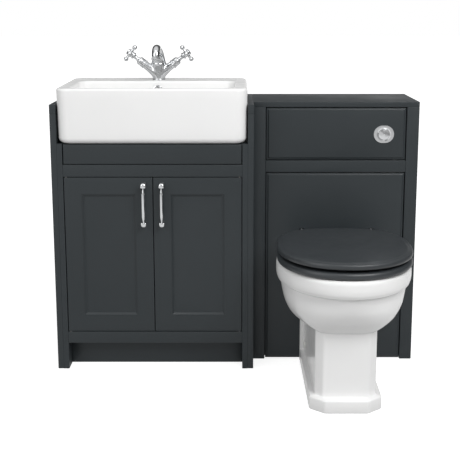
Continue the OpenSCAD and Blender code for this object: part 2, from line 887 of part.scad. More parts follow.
// Swan neck: a cubic curve from the body's crown to the outlet
function bez(a, b, c, d, t) =
    let (u = 1 - t) u * u * u * a + 3 * u * u * t * b + 3 * u * t * t * c + t * t * t * d;
function bez_dir(a, b, c, d, t) =
    let (u = 1 - t) 3 * (u * u * (b - a) + 2 * u * t * (c - b) + t * t * (d - c));
outlet_drop = spout_h - 31;
neck_a = [0, crown_z];
neck_b = [0, spout_h * 0.97];
neck_c = [spout_reach + 4, spout_h * 1.10];
neck_d = [spout_reach, outlet_drop];
function neck_ring(t, r, n = 20) =
    let (p = bez(neck_a, neck_b, neck_c, neck_d, t),
         q = bez_dir(neck_a, neck_b, neck_c, neck_d, t),
         u = q / norm(q))
    [for (k = [0:n - 1]) let (a = 360 * k / n)
        [vanity_mid + r * cos(a),
         -tap_wall - p.x + r * sin(a) * u.y,
         tap_z + p.y + r * sin(a) * u.x]];

neck_steps = 18;
module tap_spout() {
    color(chrome) set_on_wall()
        difference() {
            union() {
                loft([for (k = [0:neck_steps]) let (t = k / neck_steps)
                    neck_ring(t, spout_r + (neck_r - spout_r - 1) * pow(1 - t, 2.4))]);
                translate([vanity_mid, -tap_wall - spout_reach, tap_z + outlet_drop - 8])
                    rotate_extrude($fn = 32)
                        polygon([[0, 0], [spout_r + 1, 0], [spout_r + 2, 1],
                                 [spout_r + 2, 6], [spout_r + 1, 8], [spout_r, 12], [0, 12]]);
            }
            translate([vanity_mid, -tap_wall - spout_reach, tap_z + outlet_drop - 9])
                cylinder(r = spout_r - 2, h = 12, $fn = 32);
        }
}

module tap_bonnets() {
    color(chrome) set_on_wall()
        for (side = [-1, 1])
            on_arm(side, arm_l)
                rotate_extrude($fn = 40)
                    polygon([[stem_r + fit, 0], [bonnet_r, 0], [bonnet_r + 1.5, 1.5],
                             [bonnet_r + 1.5, 4], [bonnet_r - 0.5, 6],
                             [bonnet_r + 0.5, 9], [bonnet_r - 1, bonnet_l - 11],
                             [bonnet_r - 4, bonnet_l - 5], [8, bonnet_l - 2],
                             [8, bonnet_l], [stem_r + fit, bonnet_l]]);
}

// Stem, skirt, hub and four arms with round ends, with a domed index cap
module crosshead(side) {
    hub = cross_at - arm_l - bonnet_l;
    arm = cross_span / 2 - ball_r;
    skirt_r = 11.5;
    color(chrome) set_on_wall()
        on_arm(side, arm_l + bonnet_l) {
            translate([0, 0, -bonnet_l + 2])
                cylinder(r = stem_r, h = bonnet_l + hub - 4, $fn = 32);
            rotate_extrude($fn = 32)
                polygon([[0, touch], [7, touch], [7.6, 3], [6.4, 8],
                         [6.4, hub - 18], [skirt_r - 2, hub - 15.5], [skirt_r, hub - 14],
                         [skirt_r, hub - 11], [9.4, hub - 8], [9.4, hub + 6],
                         [10.4, hub + 7], [10.4, hub + 9], [6, hub + 11], [0, hub + 12]]);
            for (a = [0, 90, 180, 270])
                rotate([0, 0, a]) translate([0, 0, hub]) {
                    rotate([0, 90, 0]) cylinder(r1 = 4.6, r2 = 3.4, h = arm, $fn = 24);
                    translate([arm, 0, 0]) sphere(r = ball_r, $fn = 24);
                }
        }
}

module tap_handle_left() { crosshead(-1); }

module tap_handle_right() { crosshead(1); }

// Shank, washer and back nut under the ledge
module tap_fixing() {
    under = rim_z - ledge_t;
    color(bronze) set_on_wall()
        translate([vanity_mid, -tap_wall, 0]) {
            difference() {
                translate([0, 0, under - 45])
                    cylinder(r = 14, h = tap_z - under + 45);
                translate([0, 0, under - 46])
                    cylinder(r = 9, h = 50);
            }
            difference() {
                translate([0, 0, under - 4]) cylinder(r = 26, h = 4 - touch);
                translate([0, 0, under - 5]) cylinder(r = 14, h = 6);
            }
            difference() {
                translate([0, 0, under - 16]) cylinder(r = 21, h = 12, $fn = 6);
                translate([0, 0, under - 17]) cylinder(r = 14, h = 14);
            }
        }
}

// ---------------------------------------------------------------- cistern cabinet

module wc_sides() {
    color(carcass_colour) set_on_wall()
        for (x = [wc_x, wc_x + wc_w - wc_board])
            span([x, x + wc_board], [-(wc_d - rail_t), 0], [0, cabinet_h - wc_top_t]);
}

module wc_stiles() {
    color(paint) set_on_wall()
        for (x = [wc_x, wc_x + wc_w - wc_stile_w])
            span([x, x + wc_stile_w], [-wc_d, -(wc_d - rail_t)],
                 [0, cabinet_h - wc_top_t]);
}

module wc_top() {
    color(paint) set_on_wall()
        span([wc_x, wc_x + wc_w], [-wc_d, 0], [cabinet_h - wc_top_t, cabinet_h]);
}

module wc_mid_rail() {
    color(paint) set_on_wall()
        span([wc_in0, wc_in1], [-wc_d, -(wc_d - rail_t)], [mid_rail_z0, mid_rail_z1]);
}

// Board with a routed edge round its face
module routed_panel(z0, z1) {
    x = [wc_in0 + gap, wc_in1 - gap];
    hull() {
        span(x, [face_y + rout_d, face_y + rail_t], [z0, z1]);
        span([x[0] + rout_w, x[1] - rout_w], [face_y, face_y + rout_d],
             [z0 + rout_w, z1 - rout_w]);
        span([x[0] + rout_w * 0.3, x[1] - rout_w * 0.3],
             [face_y + rout_d * 0.3, face_y + rout_d],
             [z0 + rout_w * 0.3, z1 - rout_w * 0.3]);
    }
}

module wc_upper_panel() {
    color(paint) set_on_wall()
        difference() {
            routed_panel(upper_z0, upper_z1);
            rod_y(button_x, button_z, face_y - eps, face_y + rail_t + eps,
                  button_r + 2.5);
        }
}

module wc_lower_panel() {
    color(paint) set_on_wall()
        difference() {
            routed_panel(floor_gap, mid_rail_z0 - gap);
            rod_y(wc_mid, outlet_z, face_y - eps, face_y + rail_t + eps, outlet_r + 4);
            rod_y(wc_mid, inlet_z, face_y - eps, face_y + rail_t + eps, 32);
        }
}

// Battens behind the edges of both fixed panels
batten_t = 18;
batten_w = 42;
module wc_battens() {
    color(carcass_colour) set_on_wall()
        for (x = [wc_x + wc_board, wc_x + wc_w - wc_board - batten_w])
            for (z = [[floor_gap, mid_rail_z0], [upper_z0, upper_z1]])
                span([x, x + batten_w], [face_y + rail_t, face_y + rail_t + batten_t], z);
}

// Two rails behind the cistern, screwed to the wall
wc_rail_h = 70;
wc_rail_zs = [cabinet_h - wc_top_t - wc_rail_h, tank_z - 130];
wc_pitch = 320;
module wc_wall_rails() {
    color(carcass_colour) set_on_wall()
        for (z = wc_rail_zs)
            difference() {
                span([wc_x + wc_board, wc_x + wc_w - wc_board], [-wc_board, 0],
                     [z, z + wc_rail_h]);
                for (s = [-1, 1])
                    rod_y(wc_mid + s * wc_pitch / 2, z + wc_rail_h / 2,
                          -wc_board - eps, eps, wall_hole_r);
            }
}

// ---------------------------------------------------------------- cistern

// Open tank with its floor holes for the two valves
module cistern_tank() {
    x = [wc_mid - tank_w / 2, wc_mid + tank_w / 2];
    y = [-(tank_back + tank_d), -tank_back];
    color(plastic) set_on_wall()
        difference() {
            span(x, y, [tank_z, tank_top]);
            span([x[0] + tank_wall, x[1] - tank_wall], [y[0] + tank_wall, y[1] - tank_wall],
                 [tank_z + tank_wall, tank_top + eps]);
            translate([valve_x, tank_y, tank_z - eps]) cylinder(r = 30, h = 10);
            translate([fill_x, tank_y, tank_z - eps]) cylinder(r = 9.5, h = 10);
        }
}
tank_y = -(tank_back + tank_d / 2);

module cistern_lid() {
    x = [wc_mid - tank_w / 2 - 3, wc_mid + tank_w / 2 + 3];
    y = [-(tank_back + tank_d) - 3, -tank_back];
    color(plastic) set_on_wall()
        difference() {
            span(x, y, [tank_top - 8, tank_top + 4]);
            span([x[0] + 3, x[1] - 3], [y[0] + 3, y[1] + eps],
                 [tank_top - 8 - eps, tank_top]);
        }
}

// Fill valve: threaded tail, riser, head and float cup
module fill_valve() {
    color(dark) set_on_wall()
        translate([fill_x, tank_y, 0]) {
            difference() {
                translate([0, 0, tank_z - 50]) cylinder(r = 9.2, h = 50 + tank_wall + 6);
                translate([0, 0, tank_z - 51]) cylinder(r = 5, h = 40);
            }
            translate([0, 0, tank_z - 13]) cylinder(r = 17, h = 12.8, $fn = 6);
            translate([0, 0, tank_z + tank_wall]) cylinder(r = 15, h = 6);
            translate([0, 0, tank_z + tank_wall]) cylinder(r = 8, h = tank_h * 0.74);
            translate([0, 0, tank_z + tank_h * 0.74]) cylinder(r = 15, h = 24);
            difference() {
                translate([0, 0, tank_z + tank_h * 0.5]) cylinder(r = 24, h = 58);
                translate([0, 0, tank_z + tank_h * 0.5 - eps]) cylinder(r = 21, h = 52);
            }
        }
}

// Flush valve basket that guides the core, with its nut under the tank
valve_h = tank_h - 120;
module flush_valve() {
    color(plastic) set_on_wall()
        translate([valve_x, tank_y, 0])
            difference() {
                union() {
                    translate([0, 0, tank_z - 40]) cylinder(r = 29, h = 40);
                    translate([0, 0, tank_z - 16]) cylinder(r = 38, h = 15.8, $fn = 48);
                    translate([0, 0, tank_z + tank_wall]) cylinder(r = 40, h = 8);
                    translate([0, 0, tank_z - 1]) cylinder(r = 29, h = 10);
                    translate([0, 0, tank_z + tank_wall + 8])
                        cylinder(r = 38, h = valve_h);
                }
                translate([0, 0, tank_z - 41]) cylinder(r = 25, h = 60);
                translate([0, 0, tank_z + tank_wall + 8])
                    cylinder(r = 34, h = valve_h - 6);
                translate([0, 0, tank_z + valve_h - eps])
                    cylinder(r = 12 + fit, h = 30);
                for (a = [0, 60, 120])
                    rotate([0, 0, a]) translate([-45, -11, tank_z + tank_wall + 34])
                        cube([90, 22, valve_h - 70]);
            }
}

// Core: sealing disc, overflow tube and the cap that lifts it
module flush_core() {
    color([0.25, 0.45, 0.70]) set_on_wall()
        translate([valve_x, tank_y, 0])
            difference() {
                union() {
                    translate([0, 0, tank_z + tank_wall + 8 + touch])
                        cylinder(r = 31, h = 5);
                    translate([0, 0, tank_z + tank_wall + 8 + touch])
                        cylinder(r = 12, h = valve_h + 30);
                }
                translate([0, 0, tank_z]) cylinder(r = 9, h = valve_h + 60);
            }
}

// Flush pipe: down from the valve, then across and forward into the pan
module flush_pipe() {
    r = flush_r;
    color(plastic) set_on_wall()
        difference() {
            union() {
                flush_run(r);
                translate([valve_x, tank_y, tank_z - 40 - 26]) cylinder(r = 31, h = 26);
            }
            flush_run(r - 2.5);
            translate([valve_x, tank_y, tank_z - 52]) cylinder(r = 25, h = 20);
        }
}

module flush_run(r) {
    grow = r < flush_r ? eps : 0;
    // straight down to the bend
    translate([valve_x, tank_y, inlet_z + bend_r])
        cylinder(r = r, h = tank_z - 41 - inlet_z - bend_r + grow, $fn = 32);
    bend_xz(r);
    // along to the second bend
    rod_x(tank_y, inlet_z, valve_x + bend_r, wc_mid - bend_r, r, 32);
    bend_xy(r);
    rod_y(wc_mid, inlet_z, face_y - 60 - grow, tank_y - bend_r, r, 32);
}

module bend_xz(r) {
    translate([valve_x + bend_r, tank_y, inlet_z + bend_r])
        rotate([90, 0, 0]) rotate([0, 0, 180])
            rotate_extrude(angle = 90, $fn = 48) translate([bend_r, 0]) circle(r = r, $fn = 32);
}

module bend_xy(r) {
    translate([wc_mid - bend_r, tank_y - bend_r, inlet_z])
        rotate_extrude(angle = 90, $fn = 48) translate([bend_r, 0]) circle(r = r, $fn = 32);
}

// Rubber cone between the flush pipe and the pan's inlet
module flush_seal() {
    color(dark) set_on_wall()
        difference() {
            union() {
                rod_y(wc_mid, inlet_z, face_y - 30, face_y + 6, 28);
                rod_y(wc_mid, inlet_z, face_y, face_y + 6, 31);
            }
            rod_y(wc_mid, inlet_z, face_y - 31, face_y + 7, flush_r, 32);
        }
}

// ---------------------------------------------------------------- button

module bezel_plan(grow) {
    for (s = [-1, 1]) translate([s * bezel_oval / 2, 0]) circle(r = bezel_r + grow);
    square([bezel_oval, 2 * (bezel_r + grow)], center = true);
}

// Bezel with a dished face and a sleeve through the panel
module button_bezel() {
    color(chrome) set_on_wall()
        translate([button_x, face_y, button_z]) rotate([90, 0, 0])
            difference() {
                union() {
                    linear_extrude(2.2) bezel_plan(0);
                    translate([0, 0, 2.2]) linear_extrude(1.4) bezel_plan(-1.5);
                    translate([0, 0, -rail_t - 8]) cylinder(r = button_r + 2.2, h = rail_t + 10);
                }
                translate([0, 0, -40]) cylinder(r = button_r + fit, h = 60);
                translate([0, 0, 2.6])
                    cylinder(r1 = button_r, r2 = button_r + 5, h = 1.2);
            }
}

module flush_button() {
    color(chrome) set_on_wall()
        translate([button_x, face_y, button_z]) rotate([90, 0, 0]) {
            translate([0, 0, -14]) cylinder(r = button_r, h = 14 + 3.2);
            translate([0, 0, 3.2]) rotate_extrude()
                polygon([[0, 0], [button_r, 0], [button_r - 1, 1.2],
                         [button_r * 0.6, 2.2], [0, 2.8]]);
        }
}

// ---------------------------------------------------------------- pan

pan_mid = pan_reach * 0.516;
neck_fall = 95;                              // how far the neck falls towards the cabinet
// Plan ring of the pan: rear half width, widest half width and front reach. e squares the
// front from a half ellipse (1), and fall lowers the ring towards the cabinet.
function pan_ring(rear, half, reach, z, e = 1, fall = 0) =
    let (front = reach - pan_mid,
         side = [for (k = [0:3]) let (t = k / 4)
                    [rear + (half - rear) * sin(90 * t), pan_mid * t]],
         nose = [for (k = [0:16])
                    let (a = 180 * k / 16,
                         far = pow(pow(abs(cos(a)), 2 / e) + pow(sin(a), 2 / e), -e / 2))
                    [half * far * cos(a), pan_mid + front * far * sin(a)]])
    [for (p = concat([for (q = side) [-q.x, q.y]],
                     [for (q = nose) [-q.x, q.y]],
                     [for (k = [3:-1:0]) side[k]]))
        [wc_mid + p.x, face_y - p.y, z - fall * max(0, 1 - p.y / (ped_reach - 30))]];

// Outer skin: rounded rim, its band, the crease and the bulging bowl
module pan_outer() {
    w = pan_half;
    f = pan_reach;
    crease = pan_h - band_h;
    drop = crease - neck_z;
    loft([
        pan_ring(ped_half - 17, ped_half - 17, f - 140, neck_z - neck_fall - 25),
        pan_ring(ped_back - 6, ped_half - 5, f - 102, neck_z - 10, 0.34, neck_fall),
        pan_ring(ped_back + 4, ped_half + 6, f - 88, neck_z, 0.38, neck_fall),
        pan_ring(ped_back + 15, ped_half + 30, f - 71, neck_z + drop * 0.13, 0.5,
                 neck_fall * 0.95),
        pan_ring(ped_back + 28, w - 43, f - 47, neck_z + drop * 0.34, 0.7, neck_fall * 0.8),
        pan_ring(ped_back + 36, w - 24, f - 28, neck_z + drop * 0.60, 0.88, neck_fall * 0.5),
        pan_ring(ped_back + 40, w - 15, f - 18, neck_z + drop * 0.86, 1, neck_fall * 0.18),
        pan_ring(ped_back + 42, w - 12, f - 15, crease - 4, 1, neck_fall * 0.05),
        pan_ring(ped_back + 43, w - 10, f - 13, crease),
        pan_ring(ped_back + 50, w - 5, f - 6, crease + 4),
        pan_ring(ped_back + 53, w - 1, f - 1, crease + 14),
        pan_ring(ped_back + 54, w, f, crease + band_h * 0.5),
        pan_ring(ped_back + 53, w - 1, f - 1, pan_h - 10),
        pan_ring(ped_back + 51, w - 4, f - 4, pan_h - 3),
        pan_ring(ped_back + 47, w - 9, f - 9, pan_h)
    ]);
}

foot_side = (flange_half - ped_back) / foot_ledge;
// Octagonal plan of the pedestal and its foot, grown by g
module octagon(g) {
    polygon([
        [wc_mid - ped_back - g * foot_side, face_y],
        [wc_mid - ped_half - g * 0.7, face_y - ped_reach + (ped_half - ped_face) - g * 0.5],
        [wc_mid - ped_face + g * 0.2, face_y - ped_reach - g],
        [wc_mid + ped_face - g * 0.2, face_y - ped_reach - g],
        [wc_mid + ped_half + g * 0.7, face_y - ped_reach + (ped_half - ped_face) - g * 0.5],
        [wc_mid + ped_back + g * foot_side, face_y]
    ]);
}

module pedestal() {
    linear_extrude(neck_z + 40) octagon(0);
    span([wc_mid - flange_half, wc_mid + flange_half], [face_y - flange_t, face_y],
         [0, neck_z - neck_fall + 60]);
    linear_extrude(foot_h) octagon(foot_ledge);
    hull() {
        translate([0, 0, foot_h - 2]) linear_extrude(2) octagon(foot_ledge - 4);
        translate([0, 0, foot_h]) linear_extrude(8) octagon(2);
    }
}

// Inside of the bowl with its sump
function bowl_pan_ring(half, rear, reach, z) =
    let (mid = (rear + reach) / 2, long = (reach - rear) / 2)
    [for (k = [0:31]) let (a = 180 + 360 * k / 32)
        [wc_mid + half * cos(a), face_y - mid + long * sin(a), z]];

sump_z = 118;
inner_half = pan_half - 46;                  // widest half width under the rim
inner_reach = pan_reach - 34;                // farthest point under the rim
inner_rear = 107;
module pan_bowl() {
    deep = pan_h - 52 - sump_z;
    loft([
        bowl_pan_ring(inner_half * 0.29, inner_rear + 61, inner_reach - 159, sump_z),
        bowl_pan_ring(inner_half * 0.39, inner_rear + 43, inner_reach - 136,
                      sump_z + deep * 0.14),
        bowl_pan_ring(inner_half * 0.545, inner_rear + 28, inner_reach - 91,
                      sump_z + deep * 0.383),
        bowl_pan_ring(inner_half * 0.783, inner_rear + 13, inner_reach - 39,
                      sump_z + deep * 0.634),
        bowl_pan_ring(inner_half * 0.95, inner_rear + 3, inner_reach - 7,
                      sump_z + deep * 0.89),
        bowl_pan_ring(inner_half, inner_rear, inner_reach, pan_h - 44),
        bowl_pan_ring(inner_half - 15, inner_rear + 11, inner_reach - 13, pan_h - 40),
        bowl_pan_ring(inner_half - 17, inner_rear + 13, inner_reach - 15, pan_h - 8),
        bowl_pan_ring(inner_half - 12, inner_rear + 9, inner_reach - 11, pan_h + eps)
    ]);
}

// Space behind the bowl, open to the cabinet, that the trap runs through
deck_t = 20;
hollow_d = 90;
module pan_back_hollow() {
    low = ped_half - pan_wall;
    difference() {
        union() {
            span([wc_mid - low, wc_mid + low], [face_y - hollow_d, face_y + eps],
                 [-eps, pan_h - deck_t]);
            span([wc_mid - 100, wc_mid + 100], [face_y - hollow_d, face_y + eps],
                 [neck_z + 44, pan_h - deck_t]);
        }
        trapway(outlet_r);
        rod_y(wc_mid, inlet_z, face_y - hollow_d - eps, face_y + eps, 36);
    }
    translate([0, 0, -eps]) linear_extrude(sump_z - pan_wall) octagon(-pan_wall);
}

// Trap: up from the sump over the weir and back to the outlet
module trapway(r) {
    leg_r = r - 2;
    translate([wc_mid, face_y - 95, outlet_z + 12]) {
        sphere(r = r, $fn = 40);
        rotate([-97.2, 0, 0]) cylinder(r = leg_r, h = 92, $fn = 40);
        rotate([112, 0, 0]) cylinder(r = leg_r, h = 110, $fn = 40);
    }
}

spigot_l = 62;
module pan() {
    color(china) set_on_wall()
        difference() {
            union() {
                difference() {
                    union() {
                        pan_outer();
                        pedestal();
                    }
                    pan_back_hollow();
                }
                rod_y(wc_mid, outlet_z, face_y - 10, face_y + spigot_l, outlet_r);
                rod_y(wc_mid, inlet_z, face_y - 120, face_y - 4, 36);
            }
            pan_bowl();
            trapway(outlet_r - 11);
            rod_y(wc_mid, outlet_z, face_y - 14, face_y + spigot_l + eps, outlet_r - 9);
            rod_y(wc_mid, inlet_z, face_y - 130, face_y + eps, 28);
            for (s = [-1, 1])
                translate([wc_mid + s * hinge_pitch / 2, face_y - hinge_y, pan_h - 60])
                    cylinder(r = 7, h = 80, $fn = 32);
            rod_x(face_y - fix_y, fix_z, wc_mid - 120, wc_mid + 120, fix_r + touch, 32);
        }
}
// Floor blocks inside the pedestal, each with a screw through the pan's side
fix_y = 60;
fix_z = 70;
fix_r = 4;
block_w = 24;
block_in = ped_half - pan_wall;
floor_pitch = 2 * (block_in - block_w / 2);
floor_hole_r = 4;
head_x = ped_back - (ped_back - ped_half) * (fix_y - 10) / ped_reach + touch;
module pan_fixings() {
    color(steel) set_on_wall()
        for (s = [-1, 1])
            translate([wc_mid, face_y - fix_y, 0]) mirror([s < 0 ? 1 : 0, 0, 0]) {
                difference() {
                    union() {
                        span([block_in - block_w, block_in], [-20, 20], [0, 8]);
                        span([block_in - 6, block_in], [-20, 20], [0, fix_z + 14]);
                    }
                    translate([floor_pitch / 2 - 2, 0, -eps])
                        cylinder(r = floor_hole_r, h = 12, $fn = 32);
                    rod_x(0, fix_z, 0, 200, fix_r, 32);
                }
                rod_x(0, fix_z, block_in - 10, head_x, fix_r, 32);
                rod_x(0, fix_z, head_x, head_x + 3, fix_r + 4, 32);
            }
}

// Rubber connector on the outlet spigot
module soil_connector() {
    color(dark) set_on_wall()
        difference() {
            union() {
                rod_y(wc_mid, outlet_z, face_y + 30, face_y + 86, outlet_r + 5);
                rod_y(wc_mid, outlet_z, face_y + 80, -20, outlet_r + 1);
                for (k = [0:2])
                    rod_y(wc_mid, outlet_z, -92 + 14 * k, -88 + 14 * k, outlet_r + 4);
            }
            rod_y(wc_mid, outlet_z, face_y + 29, face_y + spigot_l + 1, outlet_r + touch);
            rod_y(wc_mid, outlet_z, face_y + spigot_l, -19, outlet_r - 5);
        }
}

// ---------------------------------------------------------------- seat and lid

// Plan ring of the seat and lid, shrunk by g
function seat_ring_plan(g, z, n = 40) =
    let (mid = (seat_rear + seat_reach) / 2, long = (seat_reach - seat_rear) / 2 - g,
         half = seat_half - g)
    [for (k = [0:n - 1])
        let (a = 180 + 360 * k / n, c = cos(a), s = sin(a),
             e = s > 0 ? 0.72 : 0.94,
             x = half * sign(c) * pow(abs(c), e),
             y = long * sign(s) * pow(abs(s), e))
        [wc_mid + x, face_y - mid + y, z]];

module lid() {
    color(paint) set_on_wall() difference() {
        loft([
            seat_ring_plan(7, lid_z),
            seat_ring_plan(1.5, lid_z + 3),
            seat_ring_plan(0, lid_z + lid_t * 0.45),
            seat_ring_plan(1.2, lid_z + lid_t * 0.75),
            seat_ring_plan(5, lid_z + lid_t - 1),
            seat_ring_plan(12, lid_z + lid_t)
        ]);
        spigot_holes(lid_knuckle_x, lid_spigot_z);
    }
}

// Hole through the seat
function seat_hole(g, z, n = 40) =
    let (rear = 128, reach = seat_reach - ring_w * 0.86, mid = (rear + reach) / 2)
    [for (k = [0:n - 1]) let (a = 180 + 360 * k / n)
        [wc_mid + (seat_half - ring_w + g) * cos(a),
         face_y - mid + ((reach - rear) / 2 + g) * sin(a), z]];

module seat_ring() {
    color(paint) set_on_wall()
        difference() {
            loft([
                seat_ring_plan(5, seat_z),
                seat_ring_plan(1, seat_z + 4),
                seat_ring_plan(0, seat_z + seat_t * 0.5),
                seat_ring_plan(2, seat_z + seat_t - 3),
                seat_ring_plan(8, seat_z + seat_t)
            ]);
            loft([
                seat_hole(4, seat_z - eps),
                seat_hole(0, seat_z + 5),
                seat_hole(0, seat_z + seat_t - 8),
                seat_hole(5, seat_z + seat_t - 2),
                seat_hole(9, seat_z + seat_t + eps)
            ]);
            spigot_holes(seat_knuckle_x, seat_spigot_z);
        }
}

pillar_w = 16;
// Pillars through the deck, with a barrel for the rod and a nut below
module hinge_pillars() {
    color(chrome) set_on_wall()
        for (s = [-1, 1])
            translate([wc_mid + s * hinge_pitch / 2, face_y - hinge_y, 0])
                difference() {
                    union() {
                        translate([0, 0, pan_h]) cylinder(r = 12, h = 3, $fn = 32);
                        translate([0, 0, pan_h]) cylinder(r = 7, h = hinge_up, $fn = 32);
                        rod_x(0, hinge_z, -pillar_w / 2, pillar_w / 2, rod_r + 3, 32);
                        translate([0, 0, pan_h - deck_t - 22])
                            cylinder(r = 5, h = deck_t + 24, $fn = 32);
                        translate([0, 0, pan_h - deck_t - 8]) cylinder(r = 13, h = 8, $fn = 6);
                    }
                    rod_x(0, hinge_z, -20, 20, rod_r, 32);
                }
}

module hinge_rod() {
    color(chrome) set_on_wall() {
        rod_x(face_y - hinge_y, hinge_z, wc_mid - rod_half, wc_mid + rod_half, rod_r, 32);
        for (s = [-1, 1])
            translate([wc_mid + s * rod_half, face_y - hinge_y, hinge_z])
                sphere(r = rod_r + 1.5, $fn = 24);
    }
}

// Knuckle on the rod with a spigot into the rear edge of its board
spigot_r = 3;
spigot_end = seat_rear + 42;
knuckle_w = 14;
seat_knuckle_x = hinge_pitch / 2 + 18;
lid_knuckle_x = hinge_pitch / 2 + 35;
rod_half = lid_knuckle_x + knuckle_w / 2 + rod_r + 1;
seat_spigot_z = seat_z + seat_t * 0.55;
lid_spigot_z = lid_z + lid_t * 0.42;
module knuckle(x, z) {
    difference() {
        union() {
            rod_x(face_y - hinge_y, hinge_z, x - knuckle_w / 2, x + knuckle_w / 2,
                  rod_r + 3, 32);
            span([x - knuckle_w / 2, x + knuckle_w / 2],
                 [face_y - hinge_y - 7, face_y - hinge_y],
                 [min(z - 5, hinge_z), max(z + 5, hinge_z)]);
        }
        rod_x(face_y - hinge_y, hinge_z, x - knuckle_w, x + knuckle_w, rod_r + fit, 32);
    }
    rod_y(x, z, face_y - spigot_end, face_y - hinge_y - 7, spigot_r, 32);
}

// Drilled holes for a pair of spigots
module spigot_holes(x, z) {
    for (s = [-1, 1])
        rod_y(wc_mid + s * x, z, face_y - spigot_end, face_y - hinge_y,
              spigot_r + fit, 32);
}

module seat_knuckles() {
    color(chrome) set_on_wall()
        for (s = [-1, 1])
            knuckle(wc_mid + s * seat_knuckle_x, seat_spigot_z);
}

module lid_knuckles() {
    color(chrome) set_on_wall()
        for (s = [-1, 1])
            knuckle(wc_mid + s * lid_knuckle_x, lid_spigot_z);
}

// Rubber buffers pressed under the seat and the lid
buffer_x = seat_half - 70;
buffer_front = seat_reach - 76;
buffer_rear = seat_rear + 53;
module buffer_at(x, y, z, h) {
    translate([wc_mid + x, face_y - y, z]) cylinder(r1 = 6.5, r2 = 8, h = h, $fn = 24);
}

module seat_buffers() {
    color(dark) set_on_wall()
        for (s = [-1, 1]) {
            buffer_at(s * buffer_x, buffer_front, pan_h + touch, seat_gap - touch);
            buffer_at(s * buffer_x, buffer_rear, pan_h + touch, seat_gap - touch);
        }
}

module lid_buffers() {
    color(dark) set_on_wall()
        for (s = [-1, 1]) {
            buffer_at(s * buffer_x, buffer_front, seat_z + seat_t + touch, lid_gap - touch);
            buffer_at(s * buffer_x, buffer_rear, seat_z + seat_t + touch, lid_gap - touch);
        }
}

// ---------------------------------------------------------------- nodes

end_panel_left();
end_panel_right();
end_caps();
carcass_sides();
carcass_base();
carcass_back();
vanity_wall_rail();
vanity_top_rail();
vanity_bottom_rail();
vanity_fascia();
vanity_plinth();
basin_bearers();
shelf();
shelf_pins();
door_left();
door_right();
handle_left();
handle_right();
pivot_pins();
pivot_bushes_left();
pivot_bushes_right();
basin();
overflow_ring();
waste_body();
waste_plug();
bottle_trap();
tap_body();
tap_spout();
tap_bonnets();
tap_handle_left();
tap_handle_right();
tap_fixing();
wc_sides();
wc_stiles();
wc_top();
wc_battens();
wc_mid_rail();
wc_upper_panel();
wc_lower_panel();
wc_wall_rails();
cistern_tank();
cistern_lid();
fill_valve();
flush_valve();
flush_core();
flush_pipe();
flush_seal();
button_bezel();
flush_button();
pan();
pan_fixings();
soil_connector();
hinge_pillars();
hinge_rod();
seat_ring();
seat_knuckles();
seat_buffers();
lid();
lid_knuckles();
lid_buffers();
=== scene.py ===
import json
import math

import bpy
import numpy as np
from mathutils import Matrix, Vector


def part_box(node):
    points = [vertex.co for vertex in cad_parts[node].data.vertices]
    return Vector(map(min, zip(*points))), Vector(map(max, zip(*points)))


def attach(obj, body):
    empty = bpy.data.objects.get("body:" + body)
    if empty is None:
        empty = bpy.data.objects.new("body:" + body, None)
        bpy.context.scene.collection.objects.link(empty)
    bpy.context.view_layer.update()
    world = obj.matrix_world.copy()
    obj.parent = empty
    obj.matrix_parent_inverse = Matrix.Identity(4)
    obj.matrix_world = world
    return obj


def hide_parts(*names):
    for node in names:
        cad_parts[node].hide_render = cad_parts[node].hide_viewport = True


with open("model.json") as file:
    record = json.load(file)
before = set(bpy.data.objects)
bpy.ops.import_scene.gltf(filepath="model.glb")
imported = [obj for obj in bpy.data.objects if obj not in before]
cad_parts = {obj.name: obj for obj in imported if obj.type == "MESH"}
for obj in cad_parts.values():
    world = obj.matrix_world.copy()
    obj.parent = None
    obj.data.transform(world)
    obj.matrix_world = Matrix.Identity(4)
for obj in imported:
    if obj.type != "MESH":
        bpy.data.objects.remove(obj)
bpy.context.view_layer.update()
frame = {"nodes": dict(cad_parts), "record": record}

# The bathroom run's pieces are worked out in millimetres in the wall's frame: the
# wall is y = 0, the room is at -y and the floor is z = 0. WALL moves them back.
MM = 0.001
WALL = 352.5


def node_box(node):
    """Lowest and highest corner of a CAD node, in millimetres from the wall."""
    lo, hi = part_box(node)
    shift = np.array([0.0, WALL, 0.0])
    return np.array(lo) / MM - shift, np.array(hi) / MM - shift


# ------------------------------------------------------------------ camera
EYE = (0.0, -2.5175, 1.097)
KEPT_SHIFT = 0.15               # part of the photograph's lens shift that is kept
FOCAL = 1.902                   # focal length over sensor width
PITCH = 0.1743                  # tilt that stands in for the rest of the shift

camera_data = bpy.data.cameras.new("camera")
camera_data.sensor_width = 36.0
camera_data.lens = 36.0 * FOCAL
camera_data.shift_y = -KEPT_SHIFT
camera_data.shift_x = -0.0152
camera = bpy.data.objects.new("camera", camera_data)
bpy.context.scene.collection.objects.link(camera)
camera.location = EYE
camera.rotation_euler = (math.pi / 2 - PITCH, 0.0, 0.0)
bpy.context.scene.camera = camera


# ------------------------------------------------------------------ finishes
def add(tree, kind, **values):
    """One shader node with its properties or sockets set by name."""
    node = tree.nodes.new(kind)
    for key, value in values.items():
        if key in node.inputs:
            node.inputs[key].default_value = value
        else:
            setattr(node, key, value)
    return node


